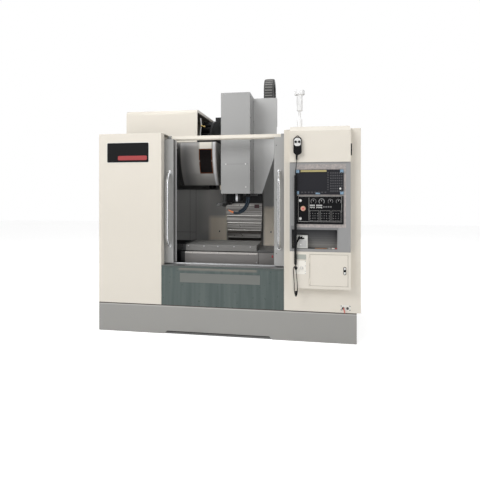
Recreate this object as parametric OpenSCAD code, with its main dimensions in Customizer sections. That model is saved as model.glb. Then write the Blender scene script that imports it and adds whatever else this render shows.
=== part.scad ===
// Vertical three-axis machining centre with a sliding-door enclosure.
// Millimetres, +Z up. X runs along the front from left to right, Y runs to the back.
// The origin lies on the floor under the middle of the machine.

/* [Overall] */
// Width over the enclosure's side panels
machine_w = 2600; // [2560:10:2700]
// Depth from the front of the hand pendant to the back of the electrical cabinet
machine_d = 2300; // [2280:10:2400]
// Height of the enclosure's top edge above the floor
cabinet_h = 2004; // [1996:2:2040]
// Thickness of the enclosure's sheet steel
sheet = 3; // [2:0.5:4]

/* [Base tray] */
// Height of the base tray, which is also the coolant tank
tray_h = 287; // [270:1:300]
// Depth of the base tray from its front face
tray_d = 1750; // [1700:10:1760]
// How far the tray's right side stands inside the enclosure
tray_inset = 37; // [0:1:60]
// Wall of the tray
tray_wall = 4; // [3:1:6]
// Height of the tank's floor above the ground
tank_floor = 34; // [30:1:60]
// Height of the lifting gap in the tray's front skirt
lift_gap_h = 30; // [20:1:33]
// Width of the lifting gap at the ground
lift_gap_w = 1080; // [600:10:1200]
// Gap between the machine bed and the tray around it
bed_gap = 14; // [10:1:18]

/* [Doorway] */
// Width of the left cabinet front
left_cabinet_w = 669; // [640:1:700]
// Width of the right cabinet front
right_cabinet_w = 709; // [690:1:730]
// Depth of a cabinet front's folded edge
fold = 40; // [30:1:50]
// Depth of the folded edge beside a door
door_fold = 88; // [60:1:92]
// Width of one sliding door
door_w = 622; // [610:1:640]
// Thickness of one sliding door
door_t = 110; // [90:1:112]
// Distance of the doors' front face behind the cabinet fronts
door_y = 100; // [95:1:105]
// Height of the doors' top edge
door_top = 1950; // [1920:1:1952]
// How much of an open door still shows beside its cabinet
door_show = 93.5; // [60:0.5:110]
// Height of the door sill
sill_h = 680; // [640:1:682]
// Height of the guide rail on the door sill
sill_rail_h = 8; // [5:1:9]
// Gap between the guide rail and the door's bottom edge
door_lift = 2; // [1:0.5:4]
// Width of a door's window
window_w = 400; // [300:10:440]
// Height of a door's window
window_h = 640; // [400:10:700]
// Thickness of a door's window pane
pane_t = 8; // [5:1:12]
// Distance between a handle's two ends
handle_h = 776; // [600:2:800]
// Diameter of a handle's tube
handle_dia = 30; // [24:1:34]
// How far a handle's tube axis stands in front of the door
handle_reach = 73; // [60:1:80]
// Height of a handle's lower end
handle_z = 850; // [820:1:900]
// Distance of a handle's axis from the door's inner edge
handle_inset = 42; // [30:1:60]
// Distance of the header beam behind the cabinet fronts
header_y = 250; // [246:1:262]
// Height of the header beam
header_h = 45; // [40:1:50]
// Depth of the header beam
header_d = 40; // [30:1:60]
// Distance of the inner left splash guard from the left side panel
left_guard_gap = 315; // [280:1:330]
// Distance of the inner right splash guard from the right side panel
right_guard_gap = 188; // [150:1:200]
// Distance of the rear splash panels behind the cabinet fronts
rear_guard_y = 1204; // [1203:0.5:1205]
// Depth of the enclosure from front to back
enclosure_d = 1550; // [1500:10:1600]

/* [Bed and column] */
// Distance of the spindle axis to the right of the machine's middle
axis_x = 40; // [38:0.5:42]
// Distance of the spindle axis behind the cabinet fronts
spindle_y = 640; // [638:0.5:642]
// Width of the machine bed
bed_w = 800; // [760:10:820]
// Height of the bed's underside above the floor
bed_z = 50; // [45:1:60]
// Height of the bed's rail seats
bed_top = 500; // [490:1:502]
// Front end of the bed behind the cabinet fronts
bed_y = 345; // [340:1:350]
// Wall of the bed and column castings
cast_wall = 28; // [22:1:34]
// Diameter of the bed's anchor holes
anchor_dia = 26; // [20:1:30]
// Spacing of the anchor holes along X
anchor_x = 852; // [840:2:856]
// Spacing of the anchor holes along Y
anchor_y = 1070; // [1000:10:1080]
// Width of the column
column_w = 500; // [480:10:520]
// Front face of the column behind the cabinet fronts
column_y = 1235; // [1234:0.5:1236]
// Depth of the column
column_d = 515; // [480:5:515]
// Height of the column's top
column_top = 2330; // [2300:5:2340]
// Diameter of a levelling foot's pad
foot_dia = 90; // [70:1:100]

/* [Saddle and table] */
// Width of the saddle
saddle_w = 1120; // [1100:10:1140]
// Depth of the saddle
saddle_d = 490; // [480:1:492]
// Height of the saddle's top edge
saddle_top = 785; // [783:1:786]
// Height of the saddle's underside
saddle_z = 560; // [556:1:564]
// Distance of the table's middle behind the cabinet fronts
table_y = 530; // [529:0.5:531]
// How far the table stands left of the spindle axis
table_shift = 150; // [120:1:160]
// Length of the worktable
table_l = 800; // [780:5:820]
// Width of the worktable
table_w = 460; // [456:1:462]
// Height of the worktable's top face
table_top = 856; // [852:1:860]
// Height of the worktable's underside
table_z = 793; // [792:0.5:794]
// Width of a T-slot's mouth
slot_w = 18; // [14:1:20]
// Width of a T-slot's foot
slot_foot = 32; // [28:1:34]
// Distance between two T-slots
slot_pitch = 80; // [70:1:84]
// Number of T-slots
slot_count = 5; // [3:2:5]
// Width of a linear guide rail
rail_w = 35; // [30:1:38]
// Height of a linear guide rail
rail_h = 32; // [30:1:33]
// Diameter of the X and Y ball screws
screw_dia = 32; // [25:1:34]
// Running gap between a carriage and its rail
rail_gap = 0.5; // [0.4:0.1:0.8]
// Side of a servo motor's square body
motor_side = 130; // [110:1:140]

/* [Head] */
// Width of the head's front cover
head_cover_w = 318; // [300:1:320]
// Front face of the head's cover behind the cabinet fronts
head_cover_y = 450; // [440:1:460]
// Depth of the head's front cover
head_cover_d = 330; // [320:1:340]
// Height of the head cover's lower edge
head_z = 1394; // [1393:0.5:1395]
// Height of the head cover's upper edge
head_top = 2485; // [2450:5:2500]
// Width of the head casting
head_w = 230; // [220:2:240]
// Diameter of the spindle's nose
nose_dia = 120; // [100:1:124]
// Height of the spindle's nose
nose_z = 1310; // [1309:0.5:1312]
// Diameter of the spindle taper at the nose
taper_dia = 44.45; // [44:0.05:45]
// Depth of the spindle taper
taper_l = 66; // [60:1:70]
// Distance of the side cover's right edge from the spindle axis
side_cover_reach = 419; // [400:1:430]
// Height of the telescopic way cover's lowest edge
cover_z = 760; // [755:1:765]
// Number of plates in the telescopic way cover
cover_count = 5; // [5:1:5]
// Height of one plate of the telescopic way cover
cover_h = 150; // [148:1:154]
// Height that the telescopic way cover spans at rest
cover_span = 510; // [508:1:514]
// Width of the outermost plate of the telescopic way cover
cover_w = 452; // [440:1:456]
// Front face of the telescopic way cover behind the cabinet fronts
cover_y = 1170; // [1169:0.5:1171]
// Step in depth from one cover plate to the next
cover_step = 6; // [5.5:0.5:6]

/* [Tool magazine] */
// Distance of the magazine's axis behind the cabinet fronts
magazine_y = 1040; // [1039:0.5:1041]
// Height of the magazine's axis
magazine_z = 1880; // [1878:1:1882]
// Radius of the ring of tool pots
pot_ring_r = 350; // [348:1:352]
// Number of tool pots
pot_count = 24; // [20:4:24]
// Diameter of a tool pot
pot_dia = 80; // [72:1:84]
// Length of a tool pot
pot_l = 120; // [110:1:124]
// Outer radius of the drum cover
drum_r = 540; // [530:2:544]
// Height of the drum cover's open lower edge
drum_z = 1488; // [1484:1:1492]
// Width of the upper magazine cover
magazine_cover_w = 829; // [780:1:840]
// Depth of the upper magazine cover
magazine_cover_d = 1010; // [1000:2:1012]
// Height of the upper magazine cover's top
magazine_top = 2330; // [2325:1:2345]
// Radius of the upper magazine cover's front edge
magazine_edge_r = 50; // [30:1:60]
// Length of the tool change arm from its axis to a gripper's centre
arm_reach = 280; // [276:1:282]
// Height of the change arm's underside
arm_z = 1255; // [1250:1:1258]

/* [Operator console] */
// Left edge of the console from the machine's middle
console_x = 650; // [640:1:660]
// Width of the console
console_w = 550; // [540:1:560]
// How far the console stands in front of the cabinet
console_d = 100; // [96:1:104]
// Height of the console's lower edge
console_z = 524; // [515:1:530]
// Height of the grey panel's lower edge
panel_z = 862; // [855:1:866]
// Height of the grey panel's upper edge
panel_top = 1687; // [1675:1:1695]
// Height of the console's front upper edge
console_top = 1975; // [1960:1:1990]
// Height of the console's bevel at the cabinet
bevel_top = 2028; // [2020:1:2035]
// Setback of the grey panel behind the console's front
panel_setback = 12; // [8:1:16]
// Diameter of the emergency stop's head
stop_dia = 42; // [36:1:44]
// Travel of the emergency stop
stop_travel = 5; // [3:0.5:6]
// Diameter of a rotary selector knob
knob_dia = 30; // [24:1:34]
// Width of the storage door
storage_w = 344; // [320:1:350]
// Height of the storage door
storage_h = 292; // [270:1:296]
// Diameter of the pendant's handwheel
wheel_dia = 76; // [60:1:80]
// Diameter of the curly cord's coils
coil_dia = 28; // [24:1:30]
// Diameter of the pendant's cord
cord_dia = 7; // [6:0.5:8]

/* [Back] */
// Width of the electrical cabinet
ecab_w = 1120; // [1000:10:1200]
// Height of the electrical cabinet's lower edge
ecab_z = 350; // [330:5:400]
// Height of the electrical cabinet's upper edge
ecab_top = 1950; // [1850:10:1990]
// Thickness of the electrical cabinet's door
ecab_door_t = 28; // [20:1:34]
// Height of the signal tower above the enclosure
tower_h = 406; // [360:2:440]
// Width of the cable chain
chain_w = 115; // [100:1:120]
// Height of the cable chain's highest point
chain_top = 2748; // [2720:2:2760]

/* [Hidden] */
$fn = 48;
fit = 0.3;
front_y = -machine_d / 2 + 150;
x0 = -machine_w / 2;
x1 = machine_w / 2;
door_x0 = x0 + left_cabinet_w;
door_x1 = x1 - right_cabinet_w;
door_z = sill_h + sill_rail_h + door_lift;
door_back = door_y + door_t;
tray_x1 = x1 - tray_inset;
bed_x = [axis_x - bed_w / 2, axis_x + bed_w / 2];
bed_flange = 50;
well_x = [bed_x[0] - bed_flange - bed_gap, bed_x[1] + bed_flange + bed_gap];
column_x = [axis_x - column_w / 2, axis_x + column_w / 2];
column_back = column_y + column_d;
column_foot = bed_top + 40;
rail_x = 150;
saddle_x = [axis_x - saddle_w / 2, axis_x + saddle_w / 2];
saddle_y = [table_y - saddle_d / 2, table_y + saddle_d / 2];
saddle_rail = 250;
trough_z = saddle_top - 60;
trough_half = 185;
table_rail = 130;
table_x = [axis_x - table_shift - table_l / 2, axis_x - table_shift + table_l / 2];
head_back = 1130;
head_plate_t = 30;
cover_rise = (cover_span - cover_h) / (cover_count - 1);
disc_x = -310;
disc_t = 25;
pot_x = disc_x - 2 - pot_dia / 2;
pot_pivot_z = magazine_z - pot_ring_r;
arm_x = (pot_x + axis_x) / 2;
arm_y = (magazine_y + spindle_y) / 2;
drum_x = [-628, -185];
frame_x = [disc_x + disc_t + 15, disc_x + disc_t + 40];
panel_y = -console_d + panel_setback;
pendant_x = console_x + 73;
coil_y = -console_d - 4 - coil_dia / 2;
ecab_x = [axis_x - 460, axis_x - 460 + ecab_w];
rear_y = machine_d - 150;
guard_x = [x0 + left_guard_gap, x1 - right_guard_gap];
chain_x = axis_x + 266;
way_x = axis_x - 19;
chain_r = 150;
chain_t = 60;
chain_y = head_cover_y + head_cover_d + 50;
hose_dia = 26;
// Routes of the two coolant hoses, from their block down and round to the nozzle
hose_routes = [[[183, 500, 1358], [182, 500, 1335], [179, 500, 1310], [172, 500, 1284],
    [162, 500, 1260], [149, 500, 1237], [132, 500, 1216], [111, 500, 1200], [86, 500, 1189],
    [60, 500, 1184], [34, 500, 1184], [10, 500, 1189], [-10, 500, 1197], [-50, 500, 1217]],
    [[160, 524, 1358], [159, 524, 1335], [155, 524, 1310], [148, 524, 1286], [138, 524, 1263],
    [125, 524, 1243], [109, 524, 1227], [92, 524, 1214], [62, 524, 1196]]];
// Route of the pendant's lower cord, from the coil down and back up to its plug
cord_route = [[705, -118, 742], [702, -118, 733], [695, -118, 725], [688, -118, 716],
    [685, -118, 703], [685, -118, 680], [687, -118, 650], [690, -118, 610], [692, -119, 570],
    [693, -120, 530], [695, -120, 497], [700, -121, 472], [709, -121, 460], [717, -121, 468],
    [721, -120, 490], [722, -120, 530], [720, -120, 580], [716, -121, 630], [712, -122, 668],
    [709, -122, 684], [709, -122, 696]];

// Places what is drawn with Y counted from the cabinet fronts
module from_front() {
    translate([0, front_y, 0]) children();
}

// A box between two limits along each axis
module block(x, y, z) {
    translate([x[0], y[0], z[0]]) cube([x[1] - x[0], y[1] - y[0], z[1] - z[0]]);
}

// A folded sheet facing the front, with four edges turned to the back
module front_tray(x, y, z, s) {
    difference() {
        block(x, y, z);
        block([x[0] + s, x[1] - s], [y[0] + s, y[1] + 1], [z[0] + s, z[1] - s]);
    }
}

// A rod along Y
module rod_y(r, x, y, z) {
    translate([x, y[0], z]) rotate([-90, 0, 0]) cylinder(r = r, h = y[1] - y[0]);
}

// A rod along X
module rod_x(r, x, y, z) {
    translate([x[0], y, z]) rotate([0, 90, 0]) cylinder(r = r, h = x[1] - x[0]);
}

// A carriage block that runs on a rail along Y
module carriage_y(x, y, z, l) {
    difference() {
        block([x - rail_w / 2 - 20, x + rail_w / 2 + 20], [y - l / 2, y + l / 2], z);
        block([x - rail_w / 2 - rail_gap, x + rail_w / 2 + rail_gap],
            [y - l, y + l], [z[0] - 1, bed_top + rail_h + rail_gap]);
    }
}

// A carriage block that runs on a rail along X
module carriage_x(x, y, z, l) {
    difference() {
        block([x - l / 2, x + l / 2], [y - rail_w / 2 - 18, y + rail_w / 2 + 18], z);
        block([x - l, x + l], [y - rail_w / 2 - rail_gap, y + rail_w / 2 + rail_gap],
            [z[0] - 1, trough_z + rail_h + rail_gap]);
    }
}

// A plate in the X-Z plane with rounded corners, from y[0] to y[1]
module round_plate(x, y, z, r) {
    translate([0, y[1], 0]) rotate([90, 0, 0]) linear_extrude(y[1] - y[0]) {
        translate([x[0] + r, z[0]]) square([x[1] - x[0] - 2 * r, z[1] - z[0]]);
        translate([x[0], z[0] + r]) square([x[1] - x[0], z[1] - z[0] - 2 * r]);
        for (cx = [x[0] + r, x[1] - r], cz = [z[0] + r, z[1] - r]) translate([cx, cz]) circle(r);
    }
}

// Sheet-steel plinth that holds the coolant, open to the back around the bed
module base_tray() {
    color([0.62, 0.61, 0.59]) from_front() difference() {
        block([x0, tray_x1], [0, tray_d], [0, tray_h]);
        // The well for the bed
        block(well_x, [bed_y - bed_gap, tray_d + 1], [-1, tray_h + 1]);
        // The space under the tank's floor
        block([x0 + tray_wall, tray_x1 - tray_wall], [tray_wall, bed_y - bed_gap - tray_wall],
            [-1, tank_floor - tray_wall]);
        for (side = [[x0 + tray_wall, well_x[0] - tray_wall],
                [well_x[1] + tray_wall, tray_x1 - tray_wall]]) {
            block(side, [tray_wall, tray_d - tray_wall], [-1, tank_floor - tray_wall]);
            // The tank on each side of the bed, open on top inside the work space
            block(side, [tray_wall, tray_d - tray_wall], [tank_floor, tray_h - tray_wall]);
        }
        for (mouth = [[guard_x[0] + 12, well_x[0] - 18], [well_x[1] + 18, guard_x[1] - 12]])
            block(mouth, [header_y + 24, rear_guard_y - 14], [tray_h - 2 * tray_wall, tray_h + 1]);
        // The tank in front of the bed
        block([x0 + tray_wall, tray_x1 - tray_wall], [tray_wall, bed_y - bed_gap - tray_wall],
            [tank_floor, tray_h - tray_wall]);
        // The lifting gap with its sloping ends
        translate([-60, tray_wall + 1, 0]) rotate([90, 0, 0]) linear_extrude(tray_wall + 2)
            polygon([[-lift_gap_w / 2, -1], [lift_gap_w / 2, -1],
                [lift_gap_w / 2 - lift_gap_h, lift_gap_h],
                [-lift_gap_w / 2 + lift_gap_h, lift_gap_h]]);
    }
}

// Pads and studs that carry the bed
module levelling_feet() {
    color([0.35, 0.35, 0.36]) from_front()
        for (x = bed_x + [12, -12], y = [bed_y + 55, bed_y + 650, bed_y + 1295])
            translate([x, y, 0]) {
                cylinder(d = foot_dia, h = 12);
                translate([0, 0, 12]) cylinder(d1 = foot_dia * 0.8, d2 = foot_dia * 0.45, h = 12);
                cylinder(d = 24, h = bed_z);
                translate([0, 0, bed_z - 16]) cylinder(d = 42, h = 16, $fn = 6);
            }
}

// Ribbed grey-iron bed with two rail seats and the column's seat
module machine_bed() {
    color([0.66, 0.67, 0.66]) from_front() difference() {
        union() {
            block(bed_x, [bed_y, column_back], [bed_z, bed_top - 20]);
            block([bed_x[0] - bed_flange, bed_x[1] + bed_flange], [bed_y, column_back],
                [bed_z, bed_z + 32]);
            for (x = [axis_x - saddle_rail, axis_x + saddle_rail])
                block([x - 45, x + 45], [bed_y, column_y - 70], [bed_top - 30, bed_top]);
            block([column_x[0] - 50, column_x[1] + 50], [column_y - 20, column_back],
                [bed_top - 30, column_foot]);
            block([axis_x - 90, axis_x + 90], [bed_y, bed_y + 40], [bed_top - 30, bed_top]);
        }
        // Two rows of pockets cast from below leave walls and ribs
        for (i = [0:4], side = [0, 1])
            block([side == 0 ? bed_x[0] + cast_wall : axis_x + cast_wall / 2,
                    side == 0 ? axis_x - cast_wall / 2 : bed_x[1] - cast_wall],
                [bed_y + cast_wall + i * (column_back - bed_y - cast_wall) / 5,
                    bed_y + (i + 1) * (column_back - bed_y - cast_wall) / 5],
                [bed_z - 1, bed_top - 20 - cast_wall]);
        for (x = [-anchor_x, anchor_x] / 2, y = [0, anchor_y])
            translate([axis_x + x, bed_y + 135 + y, bed_z - 1])
                cylinder(d = anchor_dia, h = 34);
    }
}

// Hollow column with a channel for the Z screw and a trough for the cable chain
module column() {
    leg_y = chain_y + 2 * chain_r;
    wall = sheet + rail_gap;
    trough = [[chain_x - wall, chain_x + chain_w + wall],
        [leg_y - chain_t / 2 - wall, leg_y + chain_t / 2 + wall]];
    color([0.66, 0.67, 0.66]) from_front() {
        difference() {
            block(trough[0], trough[1], [column_top - 390, column_top - 80]);
            block(trough[0] + [sheet, -sheet], trough[1] + [sheet, -sheet],
                [column_top - 391, column_top - 79]);
        }
        block([column_x[1] - 40, chain_x + 20], [trough[1][1], column_y],
            [column_top - 300, column_top - 120]);
    }
    color([0.66, 0.67, 0.66]) from_front() difference() {
        union() {
            block(column_x, [column_y, column_back], [column_foot, column_top]);
            block([column_x[0] - 50, column_x[1] + 50], [column_y, column_back],
                [column_foot, column_foot + 50]);
        }
        block([axis_x - 60, axis_x + 60], [column_y - 1, column_y + 65],
            [column_foot + 50, column_top + 1]);
        block([column_x[0] + cast_wall, column_x[1] - cast_wall],
            [column_y + 65 + cast_wall, column_back - cast_wall],
            [column_foot + cast_wall, column_top - cast_wall]);
        // Core windows in the back
        for (z = [column_foot + 260, column_foot + 1250])
            block([axis_x - 120, axis_x + 120], [column_back - 2 * cast_wall, column_back + 1],
                [z, z + 340]);
        // Core holes in the sides
        for (z = [column_foot + 300, column_foot + 900, column_foot + 1500])
            rod_x(70, [column_x[0] - 1, column_x[1] + 1], column_y + 320, z);
    }
}

// Servo motor with its shaft along Y, its back at y
module servo_y(x, y, z, l) {
    block([x - motor_side / 2, x + motor_side / 2], [y, y + l], [z - motor_side / 2, z + motor_side / 2]);
    rod_y(motor_side * 0.38, x, [y - 40, y], z);
}

// Y rails, ball screw and motor on the bed
module y_axis_drive() {
    screw_z = bed_top + 26;
    color([0.45, 0.46, 0.48]) from_front() {
        for (x = [axis_x - saddle_rail, axis_x + saddle_rail])
            block([x - rail_w / 2, x + rail_w / 2], [bed_y + 10, column_y - 75],
                [bed_top, bed_top + rail_h]);
        rod_y(screw_dia / 2, axis_x, [bed_y - 5, column_y - 90], screw_z);
        block([axis_x - 50, axis_x + 50], [bed_y, bed_y + 40], [bed_top, bed_top + 52]);
        servo_y(axis_x, bed_y - 240, screw_z, 125);
        block([axis_x - 45, axis_x + 45], [bed_y - 115, bed_y], [screw_z - 34, screw_z + 26]);
    }
}

// Z rails, ball screw and motor on the column
module z_axis_drive() {
    screw_y = column_y + 5;
    color([0.45, 0.46, 0.48]) from_front() {
        for (x = [axis_x - rail_x, axis_x + rail_x])
            block([x - rail_w / 2, x + rail_w / 2], [column_y - rail_h, column_y],
                [column_foot + 80, column_top - 80]);
        translate([axis_x, screw_y, column_foot + 100])
            cylinder(d = 40, h = column_top - column_foot - 105);
        block([axis_x - 60, axis_x + 60], [screw_y - 30, column_y + 65],
            [column_top - 70, column_top]);
        block([axis_x - 60, axis_x + 60], [screw_y - 30, column_y + 65],
            [column_foot + 60, column_foot + 100]);
        block([axis_x - 85, axis_x + 85], [column_y - 40, column_y + 130],
            [column_top, column_top + 16]);
        block([axis_x - 75, axis_x + 75], [column_y - 30, column_y + 120],
            [column_top + 16, column_top + 230]);
    }
}

// Front of the left cabinet, folded from one sheet
module front_panel_left() {
    color([0.90, 0.87, 0.83]) from_front() {
        front_tray([x0, door_x0], [0, fold], [tray_h, cabinet_h], sheet);
        block([door_x0 - sheet, door_x0], [fold, door_fold], [tray_h, cabinet_h]);
        block([x0, door_x0], [fold, header_y + header_d], [cabinet_h - sheet, cabinet_h]);
    }
}

// Front of the right cabinet
module front_panel_right() {
    color([0.90, 0.87, 0.83]) from_front() {
        front_tray([door_x1, x1], [0, fold], [tray_h, cabinet_h], sheet);
        block([door_x1, door_x1 + sheet], [fold, door_fold], [tray_h, cabinet_h]);
        block([door_x1, x1], [fold, header_y + header_d], [cabinet_h - sheet, cabinet_h]);
    }
}

// Side panels and the two rear panels beside the column
module enclosure_panels() {
    z = [tray_h, cabinet_h];
    color([0.90, 0.87, 0.83]) from_front() {
        for (side = [0, 1]) mirror([side, 0, 0]) {
            block([x0, x0 + sheet], [fold, enclosure_d - sheet], [tray_h, cabinet_h - sheet]);
            block([x0, x0 + fold], [header_y + header_d, enclosure_d - sheet],
                [cabinet_h - sheet, cabinet_h]);
            for (y = [fold + 340, fold + 860])
                block([x0 + sheet, x0 + sheet + 25], [y, y + 40], z - [0, sheet]);
        }
        for (x = [[x0, bed_x[0] - 12], [bed_x[1] + 12, x1]])
            translate([0, enclosure_d, 0]) mirror([0, 1, 0]) front_tray(x, [0, fold - sheet], z, sheet);
    }
}

// Beam over the doorway, which joins the side panels and holds the door track
module header_beam() {
    top = cabinet_h - sheet;
    color([0.90, 0.87, 0.83]) from_front() {
        difference() {
            block([x0 + sheet, x1 - sheet], [header_y, header_y + header_d], [top - header_h, top]);
            block([x0, x1], [header_y + sheet, header_y + header_d - sheet],
                [top - header_h - 1, top - sheet]);
        }
        block([x0 + 20, x1 - 20], [door_back + 8, door_back + 20], [top - 39, top - 14]);
        for (i = [0:6])
            block([x0 + 60 + i * (machine_w - 150) / 6, x0 + 90 + i * (machine_w - 150) / 6],
                [door_back + 20, header_y], [top - 36, top - 17]);
    }
}

// Polished panel under the doorway
module sill_panel() {
    color([0.42, 0.48, 0.46]) from_front()
        front_tray([door_x0, door_x1], [0, 25], [tray_h, sill_h - 20], sheet);
}

// Ledge that the doors run on, with its guide rail
module door_sill() {
    color([0.72, 0.72, 0.71]) from_front() {
        block([door_x0, door_x1], [0, 60], [sill_h - 20, sill_h]);
        block([x0 + 10, x1 - 10], [door_fold + 4, door_back + 5], [sill_h - 20, sill_h]);
        block([door_x0 + fit, door_x1 - fit], [60, door_fold + 4], [sill_h - 20, sill_h]);
        block([x0 + 20, x1 - 20], [door_y + 45, door_y + 65], [sill_h, sill_h + sill_rail_h]);
        for (x = [x0 + 60, door_x0 - 40, door_x0 + 300, door_x1 - 300, door_x1 + 40, x1 - 60])
            block([x - 20, x + 20], [door_fold + 10, door_back], [tray_h, sill_h - 20]);
    }
}

// Inner side walls that keep chips and coolant off the cabinets
module splash_guards() {
    color([0.42, 0.43, 0.42]) from_front() {
        block([guard_x[0] - sheet, guard_x[0]], [header_y + 6, rear_guard_y], [tray_h, drum_z - 48]);
        block([guard_x[0], guard_x[0] + 30], [header_y + 6, header_y + 6 + sheet],
            [tray_h, drum_z - 48]);
        block([guard_x[1], guard_x[1] + sheet], [header_y + 6, rear_guard_y],
            [tray_h, cabinet_h - sheet - header_h]);
        // Tab held in the header beam
        block([guard_x[1], guard_x[1] + sheet], [header_y + sheet, header_y + header_d - sheet],
            [cabinet_h - sheet - header_h, cabinet_h - 2 * sheet]);
    }
}

// Rear walls of the work space, left and right of the way cover
module rear_splash_panels() {
    y = [rear_guard_y, rear_guard_y + sheet];
    cover_x = [way_x - cover_w / 2, way_x + cover_w / 2];
    color([0.80, 0.76, 0.69]) from_front() {
        block([guard_x[0] - sheet, bed_x[0] - 45], y, [tray_h, drum_z - 48]);
        block([bed_x[0] - 45, cover_x[0] - 12], y, [column_foot + 5, drum_z - 48]);
        block([bed_x[1] + 45, guard_x[1] + sheet], y, [tray_h, cabinet_h - sheet - header_h]);
        block([cover_x[1] + 12, bed_x[1] + 45], y, [column_foot + 5, cabinet_h - sheet - header_h]);
    }
}

// Cream console housing: upper box with its bevel, back plate and lower box
module console_box() {
    x = [console_x, console_x + console_w];
    s = sheet;
    color([0.91, 0.88, 0.84]) from_front() {
        difference() {
            translate([x[0], 0, 0]) rotate([90, 0, 90]) linear_extrude(console_w)
                polygon([[0, panel_top], [-console_d, panel_top], [-console_d, console_top],
                    [-2, bevel_top], [0, bevel_top]]);
            translate([x[0] + s, 0, 0]) rotate([90, 0, 90]) linear_extrude(console_w - 2 * s)
                polygon([[-s, panel_top + s], [-console_d + s, panel_top + s],
                    [-console_d + s, console_top - s], [-s, console_top + 45]]);
        }
        difference() {
            block(x, [-console_d, 0], [console_z, panel_z]);
            block(x + [s, -s], [-console_d + s, -s], [console_z + s, panel_z - s]);
            storage_mouth(fit, -console_d - 1, -console_d + s + 1);
        }
        // Lower knuckles and pins of the storage door's hinges
        for (z = [panel_z - storage_h - 4, panel_z - 104])
            translate([x[1] - 25 - storage_w, -console_d - 5, z]) {
                cylinder(r = 4, h = 14 - fit);
                cylinder(r = 2, h = 52);
                translate([-4, 0, 0]) cube([8, 5, 14 - fit]);
            }
        block([x[1], x[1] + 14], [-console_d + 30, -console_d + 52], [console_top - 120, console_top - 20]);
    }
}

// Mouth of the storage compartment, grown by g
module storage_mouth(g, ya, yb) {
    sx = console_x + console_w - 20 - storage_w;
    sz = panel_z - 20 - storage_h;
    block([sx - g, sx + storage_w + g], [ya, yb], [sz - g, sz + storage_h + g]);
}

// Grey panel box between the two cream boxes, with its alcove
module operator_panel() {
    x = [console_x, console_x + console_w];
    color([0.63, 0.63, 0.63]) from_front() difference() {
        block(x, [panel_y, 0], [panel_z, panel_top]);
        block(x + [sheet, -sheet], [panel_y + sheet, -sheet], [panel_z + sheet, panel_z + 20]);
        block(x + [sheet, -sheet], [panel_y + sheet, -sheet], [panel_z + 210, panel_top - sheet]);
        block([x[0] + 19, x[1] - 119], [panel_y - 1, panel_y + 62], [panel_z + 25, panel_z + 203]);
    }
}

// Screen and its keys in one flat housing
module display_unit() {
    x = [console_x + 52, console_x + console_w - 63];
    z = [panel_z + 527, panel_z + 755];
    color([0.55, 0.55, 0.54]) from_front() difference() {
        round_plate(x, [panel_y - 14, panel_y], z, 6);
        block([x[0] + 42, x[0] + 285], [panel_y - 15, panel_y - 10], [z[0] + 36, z[1] - 18]);
    }
}

// Black machine panel with keys, two start buttons and two fixed selectors
module machine_panel() {
    x = [console_x + 62, console_x + console_w - 63];
    z = [panel_z + 255, panel_z + 513];
    y = panel_y - 8;
    color([0.20, 0.20, 0.22]) from_front() {
        difference() {
            round_plate(x, [y, panel_y], z, 8);
            rod_y(9 + fit, console_x + 123, [y - 1, panel_y + 1], panel_z + 398);
        }
        for (c = [[x[0] + 36, z[1] - 42], [x[0] + 36, z[0] + 50]]) {
            rod_y(15, c[0], [y - 5, y], c[1]);
            rod_y(10, c[0], [y - 12, y - 5], c[1]);
        }
        for (c = [x[0] + 150, x[1] - 42]) {
            rod_y(knob_dia / 2, c, [y - 4, y], z[1] - 50);
            rod_y(knob_dia / 2 - 3, c, [y - 22, y - 4], z[1] - 50);
        }
        // Three blocks of square keys
        for (g = [0:2], i = [0:3], k = [0:3])
            block([x[0] + 118 + g * 104 + i * 22, x[0] + 134 + g * 104 + i * 22], [y - 3, y],
                [z[0] + 24 + k * 22, z[0] + 40 + k * 22]);
        for (i = [0:4])
            block([x[0] + 118 + i * 22, x[0] + 134 + i * 22], [y - 3, y], [z[0] + 134, z[0] + 150]);
    }
}

// Socket box, key switch plate and port plate on the console and the cabinet
module socket_plates() {
    color([0.80, 0.79, 0.76]) from_front() {
        block([console_x + 61, console_x + 165], [panel_y, panel_y + 62], [panel_z + 30, panel_z + 148]);
        block([console_x + 60, console_x + 150], [-console_d - 2, -console_d], [panel_z - 70, panel_z - 26]);
        block([console_x + 48, console_x + 150], [-console_d - 3, -console_d], [panel_z - 207, panel_z - 80]);
        rod_y(16, console_x + 112, [-console_d - 9, -console_d - 3], panel_z - 147);
        block([console_x + 109, console_x + 115], [-console_d - 24, -console_d - 9],
            [panel_z - 160, panel_z - 134]);
        rod_y(18, console_x + 59, [-console_d - 9, -console_d - 3], panel_z - 147);
        block([x1 - 185, x1 - 92], [-3, 0], [tray_h + 22, tray_h + 72]);
        for (x = [x1 - 162, x1 - 122]) rod_y(13, x, [-14, -3], tray_h + 47);
    }
}

// Round lamp tower
module signal_tower() {
    color([0.93, 0.93, 0.92]) from_front()
        translate([door_x1 + 144, 150, cabinet_h]) rotate_extrude()
            polygon([[0, 0], [32, 0], [32, 12], [26, 40], [26, 118], [12, 130], [12, 196],
                [29, 204], [29, tower_h - 54], [49, tower_h - 46], [49, tower_h - 8],
                [40, tower_h], [0, tower_h]]);
}

// Cable chain: its front leg runs in the head's duct, its rear leg in the column's trough
module cable_chain() {
    arch_z = chain_top - chain_r - chain_t / 2;
    wide = [chain_x, chain_x + chain_w];
    color([0.22, 0.21, 0.20]) from_front() {
        for (leg = [[chain_y, 290], [chain_y + 2 * chain_r, 460]])
            block(wide, [leg[0] - chain_t / 2, leg[0] + chain_t / 2], [arch_z - leg[1], arch_z]);
        translate([chain_x, chain_y + chain_r, arch_z]) rotate([0, 90, 0]) rotate([0, 0, 90])
            rotate_extrude(angle = 180) translate([chain_r - chain_t / 2, 0])
                square([chain_t, chain_w]);
    }
}

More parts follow.
